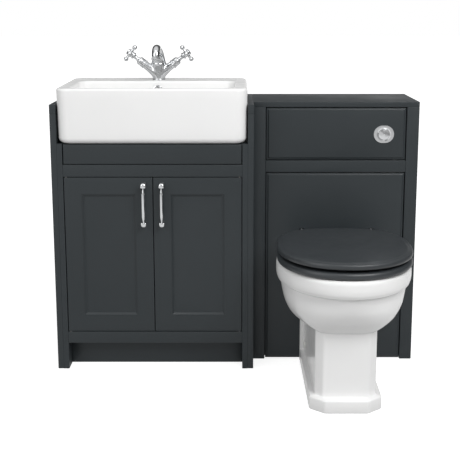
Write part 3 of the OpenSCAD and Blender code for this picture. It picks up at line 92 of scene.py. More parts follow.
def finish(name, dark, light, rough=(0.3, 0.4), metal=0.0, patch=6.0, stretch=(1, 1, 1),
           bump_scale=400.0, bump=0.05, bump_stretch=(1, 1, 1), specular=0.5):
    """Colour drifts between dark and light with a slow noise, roughness follows a
    second noise, and a fine noise gives the relief. All read Object coordinates."""
    made = bpy.data.materials.new(name)
    made.use_nodes = True
    tree = made.node_tree
    shader = tree.nodes["Principled BSDF"]
    shader.inputs["Metallic"].default_value = metal
    shader.inputs["Specular IOR Level"].default_value = specular
    place = add(tree, "ShaderNodeTexCoord")
    slow = add(tree, "ShaderNodeMapping", Scale=stretch)
    tree.links.new(place.outputs["Object"], slow.inputs["Vector"])
    drift = add(tree, "ShaderNodeTexNoise", Scale=patch, Detail=4.0, Roughness=0.55)
    tree.links.new(slow.outputs["Vector"], drift.inputs["Vector"])
    tint = add(tree, "ShaderNodeValToRGB")
    tint.color_ramp.elements[0].position = 0.32
    tint.color_ramp.elements[1].position = 0.68
    tint.color_ramp.elements[0].color = (*dark, 1)
    tint.color_ramp.elements[1].color = (*light, 1)
    tree.links.new(drift.outputs["Fac"], tint.inputs["Fac"])
    tree.links.new(tint.outputs["Color"], shader.inputs["Base Color"])
    cloud = add(tree, "ShaderNodeTexNoise", Scale=patch * 5.3, Detail=5.0)
    tree.links.new(slow.outputs["Vector"], cloud.inputs["Vector"])
    gloss = add(tree, "ShaderNodeMapRange")
    gloss.inputs["From Min"].default_value = 0.3
    gloss.inputs["From Max"].default_value = 0.7
    gloss.inputs["To Min"].default_value = rough[0]
    gloss.inputs["To Max"].default_value = rough[1]
    tree.links.new(cloud.outputs["Fac"], gloss.inputs["Value"])
    tree.links.new(gloss.outputs["Result"], shader.inputs["Roughness"])
    fine = add(tree, "ShaderNodeMapping", Scale=bump_stretch)
    tree.links.new(place.outputs["Object"], fine.inputs["Vector"])
    grain = add(tree, "ShaderNodeTexNoise", Scale=bump_scale, Detail=3.0)
    tree.links.new(fine.outputs["Vector"], grain.inputs["Vector"])
    relief = add(tree, "ShaderNodeBump", Strength=bump, Distance=0.0004)
    tree.links.new(grain.outputs["Fac"], relief.inputs["Height"])
    tree.links.new(relief.outputs["Normal"], shader.inputs["Normal"])
    return made


FINISH = {
    # satin graphite lacquer, a little blue-green, with the faint peel of a sprayed coat
    "graphite_paint": finish("graphite_paint", (0.0245, 0.0300, 0.0330),
                             (0.0290, 0.0350, 0.0385), rough=(0.36, 0.46), patch=2.2,
                             bump_scale=700.0, bump=0.07, specular=0.3),
    # the same lacquer on the wooden seat, a little lighter and glossier
    "seat_lacquer": finish("seat_lacquer", (0.0330, 0.0375, 0.0410), (0.0380, 0.0430, 0.0470),
                           rough=(0.30, 0.40), patch=3.0, bump_scale=600.0, bump=0.05,
                           specular=0.4),
    # faced board of the same colour, duller and with a fine grain
    "carcass_board": finish("carcass_board", (0.0240, 0.0295, 0.0325),
                            (0.0285, 0.0345, 0.0380), rough=(0.42, 0.54), patch=9.0,
                            bump_scale=1300.0, bump=0.10, specular=0.3),
    # vitreous china: nearly even, smooth, with a faint long wave in the glaze
    "white_ceramic": finish("white_ceramic", (0.855, 0.855, 0.852), (0.875, 0.875, 0.872),
                            rough=(0.17, 0.24), patch=4.0, bump_scale=28.0, bump=0.02,
                            specular=0.35),
    "polished_chrome": finish("polished_chrome", (0.56, 0.57, 0.58), (0.63, 0.64, 0.65),
                              rough=(0.05, 0.10), metal=1.0, patch=30.0, bump_scale=90.0,
                              bump=0.015),
    # zinc darkened well below bare metal, so that the pivot pins seen in the doors' gaps read
    # dark: painted shade
    "zinc_steel": finish("zinc_steel", (0.13, 0.13, 0.14), (0.20, 0.20, 0.21),
                         rough=(0.28, 0.45), metal=1.0, patch=60.0, bump_scale=500.0,
                         bump=0.15, bump_stretch=(1, 1, 6)),
    "brass_fittings": finish("brass_fittings", (0.55, 0.40, 0.17), (0.70, 0.53, 0.25),
                             rough=(0.22, 0.38), metal=1.0, patch=50.0, bump_scale=400.0,
                             bump=0.1),
    "white_plastic": finish("white_plastic", (0.70, 0.70, 0.67), (0.77, 0.77, 0.74),
                            rough=(0.38, 0.50), patch=12.0, bump_scale=900.0, bump=0.12),
    "blue_plastic": finish("blue_plastic", (0.06, 0.17, 0.42), (0.08, 0.22, 0.50),
                           rough=(0.35, 0.48), patch=20.0, bump_scale=900.0, bump=0.1),
    "black_plastic": finish("black_plastic", (0.020, 0.020, 0.022), (0.034, 0.034, 0.036),
                            rough=(0.36, 0.5), patch=20.0, bump_scale=900.0, bump=0.12),
    "black_rubber": finish("black_rubber", (0.014, 0.014, 0.015), (0.026, 0.026, 0.027),
                           rough=(0.62, 0.8), patch=25.0, bump_scale=700.0, bump=0.2),
}


# ------------------------------------------------------------------ surfaces
def grid_faces(rows, columns, wrap_rows=False):
    """Quads between neighbouring points of closed rows, and between the last row and
    the first where the rows wrap too."""
    r = np.arange(rows if wrap_rows else rows - 1)
    r, c = [a.ravel() for a in np.meshgrid(r, np.arange(columns), indexing="ij")]
    r2, c2 = (r + 1) % rows, (c + 1) % columns
    return np.stack([r * columns + c, r * columns + c2, r2 * columns + c2,
                     r2 * columns + c], axis=1)


def outward(points, faces):
    """Turns the faces over when the volume that they enclose comes out negative."""
    volume = 0.0
    for face in faces:
        corners = points[np.asarray(face)]
        if corners.ndim == 2:
            corners = corners[None]
        a = corners[:, 0]
        for k in range(1, corners.shape[1] - 1):
            volume += np.einsum("ij,ij->", a, np.cross(corners[:, k], corners[:, k + 1]))
    return [np.asarray(f)[..., ::-1] for f in faces] if volume < 0 else faces


def skin(rings, wrap_rows=False, cap_first=True, cap_last=True):
    """Closed skin through rings of equal length. A ring at an end is capped by one
    flat face, or by a fan to its middle where it is asked for with 'pole'."""
    rings = np.asarray(rings, float)
    rows, columns = rings.shape[:2]
    points = rings.reshape(-1, 3)
    faces = [grid_faces(rows, columns, wrap_rows)]
    if not wrap_rows:
        for cap, row in ((cap_first, 0), (cap_last, rows - 1)):
            ring = row * columns + np.arange(columns)
            if row == 0:
                ring = ring[::-1]
            if cap == "pole":
                points = np.vstack([points, rings[row].mean(axis=0)])
                tip = np.full(columns, len(points) - 1)
                faces.append(np.stack([ring, np.roll(ring, -1), tip], axis=1))
            elif cap:
                faces.append(ring)
    return points, outward(points, faces)


def turned(profile, place, around=48, wrap=False):
    """Surface of revolution: each (radius, height) pair of the profile is carried
    round the local Z axis, and place moves it. Radius 0 closes in one point."""
    profile = np.asarray(profile, float)
    angle = np.linspace(0, 2 * math.pi, around, endpoint=False)
    closed = [profile[0, 0] < 1e-6, profile[-1, 0] < 1e-6]
    body = profile[(1 if closed[0] else 0):(-1 if closed[1] else None)]
    rings = np.stack([body[:, 0, None] * np.cos(angle), body[:, 0, None] * np.sin(angle),
                      np.repeat(body[:, 1, None], around, axis=1)], axis=2)
    rows = len(body)
    points = rings.reshape(-1, 3)
    faces = [grid_faces(rows, around, wrap)]
    ends = [(closed[0], 0, profile[0]), (closed[1], rows - 1, profile[-1])]
    for shut, row, end in [] if wrap else ends:
        ring = row * around + np.arange(around)
        if row == 0:
            ring = ring[::-1]
        if shut:
            points = np.vstack([points, [0, 0, end[1]]])
            faces.append(np.stack([ring, np.roll(ring, -1),
                                   np.full(around, len(points) - 1)], axis=1))
        else:
            faces.append(ring)
    points = moved(points, place)
    return points, outward(points, faces)


def moved(points, place):
    """Points carried by a 4 by 4 matrix."""
    m = np.array(place)
    return points @ m[:3, :3].T + m[:3, 3]


def axis_place(x, y, z, direction=(0, 0, 1), spin=0.0):
    """Matrix that puts a shape's own Z along a direction, at a point."""
    turn = Vector(direction).to_track_quat("Z", "Y").to_matrix().to_4x4()
    return Matrix.Translation((x, y, z)) @ turn @ Matrix.Rotation(spin, 4, "Z")


def piece(name, body, material, blocks, replaces=(), sharp=32.0):
    """One named object of closed skins, given in millimetres from the wall."""
    points, faces, base = [], [], 0
    for verts, quads in blocks:
        points.append(verts)
        for block in quads:
            block = np.asarray(block) + base
            faces.extend([block.tolist()] if block.ndim == 1 else block.tolist())
        base += len(verts)
    points = (np.vstack(points) + [0, WALL, 0]) * MM
    mesh = bpy.data.meshes.new(name)
    mesh.from_pydata(points.tolist(), [], faces)
    mesh.materials.append(FINISH[material])
    mesh.shade_smooth()
    mesh.set_sharp_from_angle(angle=math.radians(sharp))
    made = bpy.data.objects.new(name, mesh)
    bpy.context.scene.collection.objects.link(made)
    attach(made, body)
    if replaces:
        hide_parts(*([replaces] if isinstance(replaces, str) else replaces))


def easing(r, steps=4):
    """Quarter circle of radius r as (inset, height) pairs, from the side up to the top."""
    a = np.linspace(0, math.pi / 2, steps + 1)
    return np.stack([r * (1 - np.cos(a)), r * np.sin(a)], axis=1)


def frame_ring(x0, x1, y0, y1, r, steps=3):
    """Rectangle in plan with corners of radius r, anticlockwise from above."""
    r = max(r, 0.01)
    a = np.linspace(0, math.pi / 2, steps + 1)
    corners = [(x0 + r, y0 + r, math.pi), (x1 - r, y0 + r, 1.5 * math.pi),
               (x1 - r, y1 - r, 0.0), (x0 + r, y1 - r, 0.5 * math.pi)]
    return np.vstack([np.stack([x + r * np.cos(s + a), y + r * np.sin(s + a)], axis=1)
                      for x, y, s in corners])


def board(lo, hi, r):
    """Board with all twelve edges eased: the plan is an eased rectangle, and the rings
    at the bottom and the top draw in along a quarter circle."""
    ease = easing(r)
    rings = []
    for inset, z in ([(i, lo[2] + r - h) for i, h in ease[::-1]]
                     + [(i, hi[2] - r + h) for i, h in ease]):
        ring = frame_ring(lo[0] + inset, hi[0] - inset, lo[1] + inset, hi[1] - inset,
                          max(0.05, r - inset))
        rings.append(np.column_stack([ring, np.full(len(ring), z)]))
    return skin(rings)


def facing(lo, hi, profile, r=0.05):
    """Board seen from the front: a rectangle in x and z that draws in by inset while it
    goes through the depths of profile, given as (inset, depth behind the front)."""
    rings = []
    for inset, depth in profile:
        ring = frame_ring(lo[0] + inset, hi[0] - inset, lo[2] + inset, hi[2] - inset, r, 2)
        rings.append(np.column_stack([ring[:, 0], np.full(len(ring), lo[1] + depth),
                                      ring[:, 1]]))
    return skin(rings)


def side_pair(node, wide, r):
    """Two boards of one width, at the left and at the right end of a node's box."""
    lo, hi = node_box(node)
    return [board(lo, (lo[0] + wide, hi[1], hi[2]), r),
            board((hi[0] - wide, lo[1], lo[2]), hi, r)]


# ------------------------------------------------------------------ painted boards
EASED = 1.3                     # radius of a painted board's edges
CAP_WIDE, STILE_WIDE, BATTEN_WIDE = 18.0, 37.0, 42.0

for node in ("end_panel_left", "end_panel_right", "vanity_top_rail", "vanity_bottom_rail",
             "vanity_plinth", "wc_top", "wc_mid_rail"):
    piece("shown_" + node, "cabinet", "graphite_paint", [board(*node_box(node), r=EASED)],
          node)


def fascia_skin(lo, hi, side=0.9, under=2.8, rebate=6.0):
    """Fascia with a rebate behind its face, so that a dark joint shows at both sides and
    under it while nothing is seen through."""
    rings = []
    face = lo[1]
    for drawn, eased, y in ((0, 0.0, hi[1]), (0, 0.0, face + rebate), (1, 0.0, face + rebate),
                            (1, 0.0, face + EASED), (1, 0.4, face + 0.4), (1, EASED, face)):
        inset = drawn * side + eased
        ring = frame_ring(lo[0] + inset, hi[0] - inset, lo[2] + drawn * under + eased,
                          hi[2] - eased, 0.05, 2)
        rings.append(np.column_stack([ring[:, 0], np.full(len(ring), y), ring[:, 1]]))
    return skin(rings)


piece("shown_vanity_fascia", "cabinet", "graphite_paint",
      [fascia_skin(*node_box("vanity_fascia"))], "vanity_fascia")

for node, wide in (("end_caps", CAP_WIDE), ("wc_stiles", STILE_WIDE)):
    piece("shown_" + node, "cabinet", "graphite_paint", side_pair(node, wide, EASED), node)


# ------------------------------------------------------------------ doors and panels
DOOR_THICK = 20.0
FRAME_WIDE, MOULD_WIDE, MOULD_DEEP = 50.0, 9.0, 6.3
PANEL_FRONT, PANEL_BACK = 7.0, 16.0     # depths of the centre panel's faces


def ogee(start, width, depth, steps=10):
    """S-shaped edge: a small step, then half a cosine wave that falls by depth over
    width, given as (inset, depth) pairs."""
    t = np.linspace(0, 1, steps + 1)
    return [(start, 0.0), (start + 0.1, 0.8)] + [
        (start + 0.3 + (width - 0.3) * a, 0.8 + (depth - 0.8) * (1 - math.cos(math.pi * a)) / 2)
        for a in t]


def door(name, node, body):
    """Framed door: one profile goes from the panel's back over the frame's back and
    edge to its face, down the moulding and across the panel's front."""
    f, t = FRAME_WIDE, DOOR_THICK
    back = [(f + 16.0, PANEL_BACK), (f + 0.5, PANEL_BACK), (f, t - 0.5), (f - 0.5, t)]
    edge = [(1.0, t), (0.3, t - 0.3), (0.0, t - 1.0), (0.0, 1.3), (0.2, 0.6), (0.6, 0.2),
            (1.3, 0.0), (20.0, 0.0)]
    front = ogee(f, MOULD_WIDE, MOULD_DEEP) + [(f + 9.3, PANEL_FRONT), (f + 16.0, PANEL_FRONT)]
    piece(name, body, "graphite_paint", [facing(*node_box(node), back + edge + front)], node,
          sharp=24)


door("shown_door_left", "door_left", "door_left")
door("shown_door_right", "door_right", "door_right")

# the fixed panels' routed edge: a step, a hollow quarter round and a soft arris
for node in ("wc_upper_panel", "wc_lower_panel"):
    routed = [(1.0, 20.0), (0.0, 19.0), (0.0, 5.4), (0.4, 4.7), (1.2, 4.3)]
    routed += [(1.4 + 5.4 * math.sin(a), 4.1 - 3.4 * (1 - math.cos(a)))
               for a in np.linspace(0, math.pi / 2, 8)]
    routed += [(7.2, 0.25), (8.0, 0.0)]
    piece("shown_" + node, "cabinet", "graphite_paint", [facing(*node_box(node), routed)],
          node, sharp=24)

piece("shown_wc_battens", "cabinet", "carcass_board",
      side_pair("wc_battens", BATTEN_WIDE, 0.6), "wc_battens")


# ------------------------------------------------------------------ handles
DOOR_FACE, GRIP_LINE = -325.0, -347.5   # front of the doors, middle of the grip
POST_LOW, POST_HIGH = 461.0, 577.0      # heights of the two feet


def swell(t):
    """Slim at both ends and full over the middle: a smooth step over the first and
    last fifth."""
    s = np.minimum(1.0, np.minimum(t, 1 - t) / 0.2)
    return 0.36 + 0.64 * s * s * (3 - 2 * s)


def bell_ring(x, z, up, depth, half_in, half_out, tall, drop, n=28):
    """Outline of a handle's foot from the front: a superellipse that is half_in wide
    where it meets the grip and half_out wide towards its domed end."""
    a = np.linspace(0, 2 * math.pi, n, endpoint=False)
    c, s = np.cos(a), np.sin(a)
    down = (1 - s) / 2
    half = half_out + (half_in - half_out) * down
    e = np.where(s > 0, 0.9, 0.45)
    high = np.where(s > 0, tall, drop) * np.sign(s) * np.abs(s) ** e
    return np.stack([x + half * np.sign(c) * np.abs(c) ** 0.62, depth + 0 * a,
                     z + up * high], axis=1)


def pull_handle(name, node, body, x):
    """Grip as a loft of ovals with a ridge along its front, on two bell-shaped feet
    with a waist behind a bevelled cap, and the screws from the door's inside."""
    t = np.linspace(0, 1, 60)[:, None]
    a = np.linspace(0, 2 * math.pi, 28, endpoint=False)[None, :]
    w, d = 5.4 * swell(t), 4.4 * swell(t)
    ridge = 1 + 0.16 * np.maximum(0, -np.sin(a)) ** 5
    bow = 1.6 * (1 - (2 * t - 1) ** 2)
    grip = np.stack([x + w * np.cos(a), GRIP_LINE - bow + d * ridge * np.sin(a),
                     POST_LOW + 3 + (POST_HIGH - POST_LOW - 6) * t + 0 * a], axis=2)
    blocks = [skin(grip)]
    screw = [(0, 0), (2, 0), (2, 20.0), (4.2, 20.0), (4.2, 21.4), (3.2, 22.4), (0, 22.6)]
    # depth, half width at the grip and at the dome, height above and below the post
    foot = [(0.0, 8.0, 7.6, 7.4, 5.6), (-1.4, 8.2, 7.8, 7.6, 5.8), (-2.6, 7.6, 7.2, 7.0, 5.4),
            (-4.5, 6.4, 6.0, 6.2, 4.6), (-9.0, 5.6, 5.4, 5.8, 4.2), (-15.0, 6.0, 5.6, 6.4, 4.6),
            (-17.2, 7.6, 6.4, 8.0, 5.4), (-18.2, 9.4, 7.4, 9.0, 6.2),
            (-19.4, 9.9, 7.8, 9.4, 6.4), (-21.0, 9.9, 7.8, 9.4, 6.4),
            (-23.6, 9.7, 7.4, 8.4, 6.3), (-25.4, 9.1, 6.4, 6.4, 6.0),
            (-26.4, 8.2, 5.2, 4.2, 5.4), (-26.9, 6.6, 3.8, 2.4, 4.4)]
    for z, up in ((POST_LOW, -1), (POST_HIGH, 1)):
        blocks.append(skin([bell_ring(x, z, up, DOOR_FACE + dy, *size) for dy, *size in foot]))
        blocks.append(turned(screw, axis_place(x, DOOR_FACE + 0.1, z, (0, 1, 0)), 24))
    piece(name, body, "polished_chrome", blocks, node)


pull_handle("shown_handle_left", "handle_left", "door_left", -277.0)
pull_handle("shown_handle_right", "handle_right", "door_right", -223.0)


# ------------------------------------------------------------------ basin
MID, RIM, FOOT, FRONT = -250.0, 863.0, 700.0, 335.0
SKIRT_HALF, SKIRT_LEAN, SKIRT_CORNER, RIM_RISE = 281.2, 2.2, 34.0, 6.0
BOWL, BOWL_HALF, BOWL_FRONT, LEDGE = 741.0, 242.0, 311.0, 112.0
WASTE = (-250.0, -203.5)
WASTE_R, WASTE_DEEP = 22.5, 24.0


def plan_ring(half, front, back, r_front, r_back, steps=14, straight=10):
    """Rounded rectangle round the basin's middle with an equal number of points on
    each corner and each side, so that two such rings can be blended."""
    a = np.linspace(0, math.pi / 2, steps + 1)
    c = [(-half + r_front, front + r_front, r_front, math.pi),
         (half - r_front, front + r_front, r_front, 1.5 * math.pi),
         (half - r_back, back - r_back, r_back, 0.0),
         (-half + r_back, back - r_back, r_back, 0.5 * math.pi)]
    corners = [np.stack([MID + x + r * np.cos(s + a), y + r * np.sin(s + a)], axis=1)
               for x, y, r, s in c]
    ring = []
    for k in range(4):
        here, there = corners[k], corners[(k + 1) % 4]
        side = here[-1] + (there[0] - here[-1]) * np.linspace(0, 1, straight + 1)[1:-1, None]
        ring += [here, side]
    return np.vstack(ring)


def tilt(points, z, share):
    """Height z plus the rim's rise towards the wall."""
    return np.column_stack([points, z + share * RIM_RISE * (1 + points[:, 1] / FRONT)])


def basin_side(inset, z, share):
    """Outer ring of the basin: a rounded rectangle, drawn in by inset and by a lean that
    grows evenly from the rim to the foot."""
    lean = SKIRT_LEAN * (RIM - z) / (RIM - FOOT)
    r = max(4.0, SKIRT_CORNER - inset * 0.6)
    return tilt(plan_ring(SKIRT_HALF - lean - inset, -(FRONT - lean / 2 - inset),
                          -inset * 0.25, r, r), z, share)


def bowl_side(inset, z, share=0.0, r_front=44.0, r_back=34.0):
    """Ring of the bowl, drawn in by inset."""
    return tilt(plan_ring(BOWL_HALF - inset, -(BOWL_FRONT - inset), -(LEDGE + inset),
                          max(6.0, r_front), max(6.0, r_back)), z, share)


def drain_ring(r, z, like):
    """Circle round the outlet, met by the points of a bowl ring in the same order."""
    away = like[:, :2] - np.array(WASTE)
    away /= np.linalg.norm(away, axis=1)[:, None]
    return np.column_stack([np.array(WASTE) + r * away, np.full(len(like), z)])


def basin_rings():
    """Profile of the basin: up the skirt, over the rim, down the bowl, through the
    outlet, back under the bowl and down inside the skirt to where it began."""
    rings = [basin_side(18 * (1 - math.sin(a)), FOOT + 18 * (1 - math.cos(a)), 0)
             for a in np.linspace(0.05, math.pi / 2, 8)]
    rings += [basin_side(0, z, s) for z, s in ((745, 0.2), (790, 0.6), (830, 0.9))]
    rings += [basin_side(8 * (1 - math.cos(a)), RIM - 8 * (1 - math.sin(a)), 1)
              for a in np.linspace(0, math.pi / 2, 8)]
    lip = bowl_side(-7, RIM, 1)
    last = rings[-1]
    rings += [last + (lip - last) * t for t in (0.25, 0.6)]
    rings += [bowl_side(-7 + 7 * math.sin(a), RIM - 9 * (1 - math.cos(a)), 1)
              for a in np.linspace(0, math.pi / 2, 8)]
    rings += [bowl_side(i, z, s, 44 - i * 0.2, 34 - i * 0.2)
              for i, z, s in ((2.0, 835, 0.8), (5.0, 810, 0.4), (8.5, 790, 0.1))]
    for a in np.linspace(0.0, math.pi / 2, 12):
        rings.append(bowl_side(9 + 30 * (1 - math.cos(a)), BOWL + 3 + 32 * (1 - math.sin(a)),
                               0, 42 - 14 * math.sin(a), 32 - 8 * math.sin(a)))
    like = rings[-1]
    for t in (0.25, 0.5, 0.75):
        rings.append(like + (drain_ring(36, BOWL + 0.4, like) - like) * t)
    # round the outlet: radius, height above the bowl's floor
    for r, up in ((36, 0.3), (33, -0.2), (31.6, -1.4), (31.5, -3), (WASTE_R, -3),
                  (WASTE_R, -WASTE_DEEP), (36.5, -WASTE_DEEP), (37, -12.5)):
        rings.append(drain_ring(r, BOWL + up, like))
    rings.append(like + np.array([0, 0, -14.0]))
    for a in np.linspace(math.pi / 2, 0.0, 6):
        rings.append(bowl_side(-3 + 30 * (1 - math.cos(a)), BOWL - 9 + 32 * (1 - math.sin(a)),
                               0, 50, 40))
    rings += [bowl_side(-9, 815), bowl_side(-11, RIM - 19)]
    rings += [basin_side(18, RIM - 15, 0), basin_side(12, RIM - 24, 0),
              basin_side(12, 745, 0), basin_side(14, 722, 0), basin_side(28, 706, 0),
              basin_side(28, FOOT + 0.01, 0)]
    return rings


piece("shown_basin", "cabinet", "white_ceramic", [skin(basin_rings(), wrap_rows=True)],
      "basin", sharp=40)


# ------------------------------------------------------------------ seat and lid
WC, FACE = 300.0, -250.0        # middle and front of the cistern cabinet
REAR, REACH, SEAT_HALF = 57.0, 449.0, 188.0
RING_WIDE = 72.0
SEAT_FOOT, SEAT_THICK = 399.0, 20.0
LID_FOOT, LID_THICK = 426.0, 17.5


def seat_plan(shrink, z, n=128):
    """Seat outline: a superellipse, squarer towards the hinge, drawn in by shrink."""
    a = math.pi + 2 * math.pi * np.arange(n) / n
    c, s = np.cos(a), np.sin(a)
    e = np.where(s > 0, 0.72, 0.94)
    mid = (REAR + REACH) / 2
    long, half = (REACH - REAR) / 2 - shrink, SEAT_HALF - shrink
    return np.stack([WC + half * np.sign(c) * np.abs(c) ** e,
                     FACE - mid + long * np.sign(s) * np.abs(s) ** e, z + 0 * a], axis=1)


def seat_opening(grow, z, n=128):
    """Oval opening of the seat, an ellipse that is grown on all sides by grow."""
    a = math.pi + 2 * math.pi * np.arange(n) / n
    rear, reach = 128.0, REACH - RING_WIDE * 0.86
    return np.stack([WC + (SEAT_HALF - RING_WIDE + grow) * np.cos(a),
                     FACE - (rear + reach) / 2 + ((reach - rear) / 2 + grow) * np.sin(a),
                     z + 0 * a], axis=1)


def lid_rings():
    """Lid: a bullnose edge of two quarter rounds under a shallow bevel and a flat top."""
    z, t = LID_FOOT, LID_THICK
    rings = [seat_plan(60, z), seat_plan(8, z)]
    rings += [seat_plan(6.5 * (1 - math.cos(a)), z + 7 + 7 * math.sin(a))
              for a in np.linspace(-math.pi / 2, 0, 8)]
    rings += [seat_plan(4.5 * (1 - math.cos(a)), z + 7 + (t - 9.3) * math.sin(a))
              for a in np.linspace(0.15, math.pi / 2, 8)]
    rings += [seat_plan(inset, z + t - drop) for inset, drop in
              ((10, 1.9), (12.5, 1.1), (15, 0.4), (19, 0.0), (60, 0.0), (120, 0.0))]
    return rings


piece("shown_lid", "lid", "seat_lacquer", [skin(lid_rings())], "lid",
      sharp=40)


def seat_rings():
    """Seat: round outer edge, a crowned top that falls to the opening, flat under."""
    z, t = SEAT_FOOT, SEAT_THICK
    rings = [seat_plan(7 * (1 - math.cos(a)), z + 8 + 8 * math.sin(a))
             for a in np.linspace(-math.pi / 2, 0, 8)]
    rings += [seat_plan(9 * (1 - math.cos(a)), z + 8 + (t - 8.6) * math.sin(a))
              for a in np.linspace(0.15, math.pi / 2, 8)]
    edge, hole = rings[-1], seat_opening(12, z + t)
    for s in (0.25, 0.5, 0.75):
        ring = edge + (hole - edge) * s
        ring[:, 2] = z + t - 0.6 + 0.6 * math.sin(math.pi * s)
        rings.append(ring)
    rings += [seat_opening(12 * (1 - math.sin(a)), z + t - 0.6 - 11 * (1 - math.cos(a)))
              for a in np.linspace(0, math.pi / 2, 8)]
    rings += [seat_opening(0, z + 5), seat_opening(1.5, z + 1.5), seat_opening(4, z)]
    return rings


piece("shown_seat", "seat", "seat_lacquer", [skin(seat_rings(), wrap_rows=True)], "seat_ring",
      sharp=40)


# ------------------------------------------------------------------ pan
PAN_MID = 234.8                 # from the cabinet to the pan's widest place
PED_BACK, PED_SIDE, PED_FACE, PED_REACH = 91.0, 85.0, 64.0, 360.0
FLANGE_HALF, FLANGE_THICK = 103.0, 14.0
OUTLET_RISE, OUTLET_R, OUTLET_WALL = 180.0, 51.0, 9.0
FALL_LONG = 330.0               # how far from the cabinet a sinking ring is level again
BACK_POINTS = 16                # points of a ring that lie on the cabinet


def smooth_rows(knots, per=6):
    """Monotone cubic through rows of numbers, taken at even steps between knots. The
    slope at a knot is the harmonic mean of its neighbours', or 0 at a turning point."""
    k = np.asarray(knots, float)
    d = np.diff(k, axis=0)
    same = d[:-1] * d[1:] > 0
    m = np.zeros_like(k)
    with np.errstate(divide="ignore", invalid="ignore"):
        m[1:-1] = np.where(same, 2 * d[:-1] * d[1:] / (d[:-1] + d[1:]), 0)
    m[0], m[-1] = d[0], d[-1]
    t = np.linspace(0, 1, per, endpoint=False)[:, None, None]
    a, b = k[None, :-1], k[None, 1:]
    out = (a * (2 * t ** 3 - 3 * t ** 2 + 1) + m[None, :-1] * (t ** 3 - 2 * t ** 2 + t)
           + b * (3 * t ** 2 - 2 * t ** 3) + m[None, 1:] * (t ** 3 - t ** 2))
    rows = out.transpose(1, 0, 2).reshape(-1, k.shape[1])
    return np.vstack([rows, k[-1]])


def pan_plan(rear, half, reach, z, square=1.0, fall=0.0, flat=24, curve=72):
    """Plan ring of the pan: a straight back on the cabinet, sides that swell as a
    quarter sine, and a front that is a half ellipse at square 1 and a superellipse with
    fuller corners below it. The ring sinks by fall towards the cabinet."""
    t = np.arange(flat) / flat
    a = math.pi + math.pi * np.arange(curve + 1) / curve
    far = (np.abs(np.cos(a)) ** (2 / square)
           + np.abs(np.sin(a)) ** (2 / square)) ** (-square / 2)
    side = rear + (half - rear) * np.sin(math.pi / 2 * t)
    bx = np.linspace(rear, -rear, BACK_POINTS, endpoint=False)
    x = np.concatenate([-side, half * far * np.cos(a), side[:0:-1], bx])
    y = np.concatenate([-PAN_MID * t, -PAN_MID + (reach - PAN_MID) * far * np.sin(a),
                        -PAN_MID * t[:0:-1], 0 * bx])
    return np.stack([WC + x, FACE + y, z - fall * np.maximum(0, 1 + y / FALL_LONG)], axis=1)


RING = len(pan_plan(1, 1, 300, 0))


def octagon_plan(grow, z, n=RING, round_by=5.0):
    """The pedestal's plan at a height z, larger by grow at the front and by less at the
    sides and the back: n points, with each corner a small arc."""
    back, side, face = PED_BACK + grow * 0.545, PED_SIDE + grow * 0.7, PED_FACE - grow * 0.2
    bevel = PED_SIDE - PED_FACE - PED_REACH - grow * 0.5
    corners = np.array([[-back, 0], [-side, bevel], [-face, -PED_REACH - grow],
                        [face, -PED_REACH - grow], [side, bevel], [back, 0]])
    path = [corners[:1]]
    for before, c, after in zip(corners, corners[1:], corners[2:]):
        u, v = before - c, after - c
        u, v = u / np.linalg.norm(u), v / np.linalg.norm(v)
        s = np.linspace(0, 1, 7)[:, None]
        path.append(c + round_by * (u * (1 - s) ** 2 + v * s ** 2))
    path = np.vstack(path + [corners[-1:]])
    step = np.diff(path, axis=0)
    where = np.concatenate([[0], np.cumsum(np.linalg.norm(step, axis=1))])
    # points bunch up at the corners: nearly half by distance, the others by turning
    turn = np.zeros(len(path))
    turn[1:-1] = np.abs(np.diff(np.unwrap(np.arctan2(step[:, 1], step[:, 0]))))
    weight = where / where[-1] + 1.1 * np.cumsum(turn) / turn.sum()
    pick = np.interp(np.linspace(0, weight[-1], n - BACK_POINTS), weight, where)
    x = np.interp(pick, where, path[:, 0])
    y = np.interp(pick, where, path[:, 1])
    bx = np.linspace(x[-1], x[0], BACK_POINTS + 2)[1:-1]
    return np.stack([WC + np.concatenate([x, bx]), FACE + np.concatenate([y, 0 * bx]),
                     z + np.zeros(n)], axis=1)


def pan_skin():
    """Outside of the pan: rings of the bowl, smoothed between the crease and the neck
    and over the rim band, then the inside down to the sump."""
    # half width at the cabinet, greatest half width, reach, height, squareness, fall
    belly = smooth_rows([(84, 79, 352, 216, 0.34, 95), (95, 91, 367, 226, 0.38, 95),
                         (106, 115, 384, 241.5, 0.50, 90), (119, 146, 408, 266.5, 0.70, 76),
                         (127, 165, 427, 297.4, 0.88, 48), (131, 174, 437, 328.3, 1, 17),
                         (133, 177, 440, 341, 1, 5)], 6)
    crease = smooth_rows([(133, 177.3, 440.3, 343, 1, 2), (136, 180, 443, 345.2, 1, 0),
                          (141, 185, 450, 349, 1, 0)], 4)
    band = smooth_rows([(141, 185, 450, 349), (144, 188, 454, 359), (145, 189, 455, 371),
                        (144, 188, 454, 387), (142, 185, 451, 394), (138, 180, 446, 397)], 5)
    outer = [pan_plan(*row) for row in np.vstack([belly, crease])]
    outer += [pan_plan(*row) for row in band[1:]]
    # half width, rear, reach, height
    inside = smooth_rows([(131, 116, 410, 397), (128, 119, 407, 393), (126, 120, 406, 382),
                          (126, 120, 406, 362), (128, 118, 408, 357.5), (143, 107, 421, 353),
                          (141, 108, 419, 335), (136, 110, 414, 320), (112, 120, 382, 262),
                          (78, 135, 330, 205), (56, 150, 285, 150), (42, 168, 262, 118)], 4)
    like = outer[-1]
    well = []
    angle = np.arctan2(like[:, 1] - (FACE - 265), like[:, 0] - WC)
    for half, rear, reach, z in inside:
        mid, long = (rear + reach) / 2, (reach - rear) / 2
        well.append(np.stack([WC + half * np.cos(angle), FACE - mid + long * np.sin(angle),
                              z + 0 * angle], axis=1))
    between = [like + (well[0] - like) * t for t in (0.33, 0.66)]
    return skin(outer + between + well)


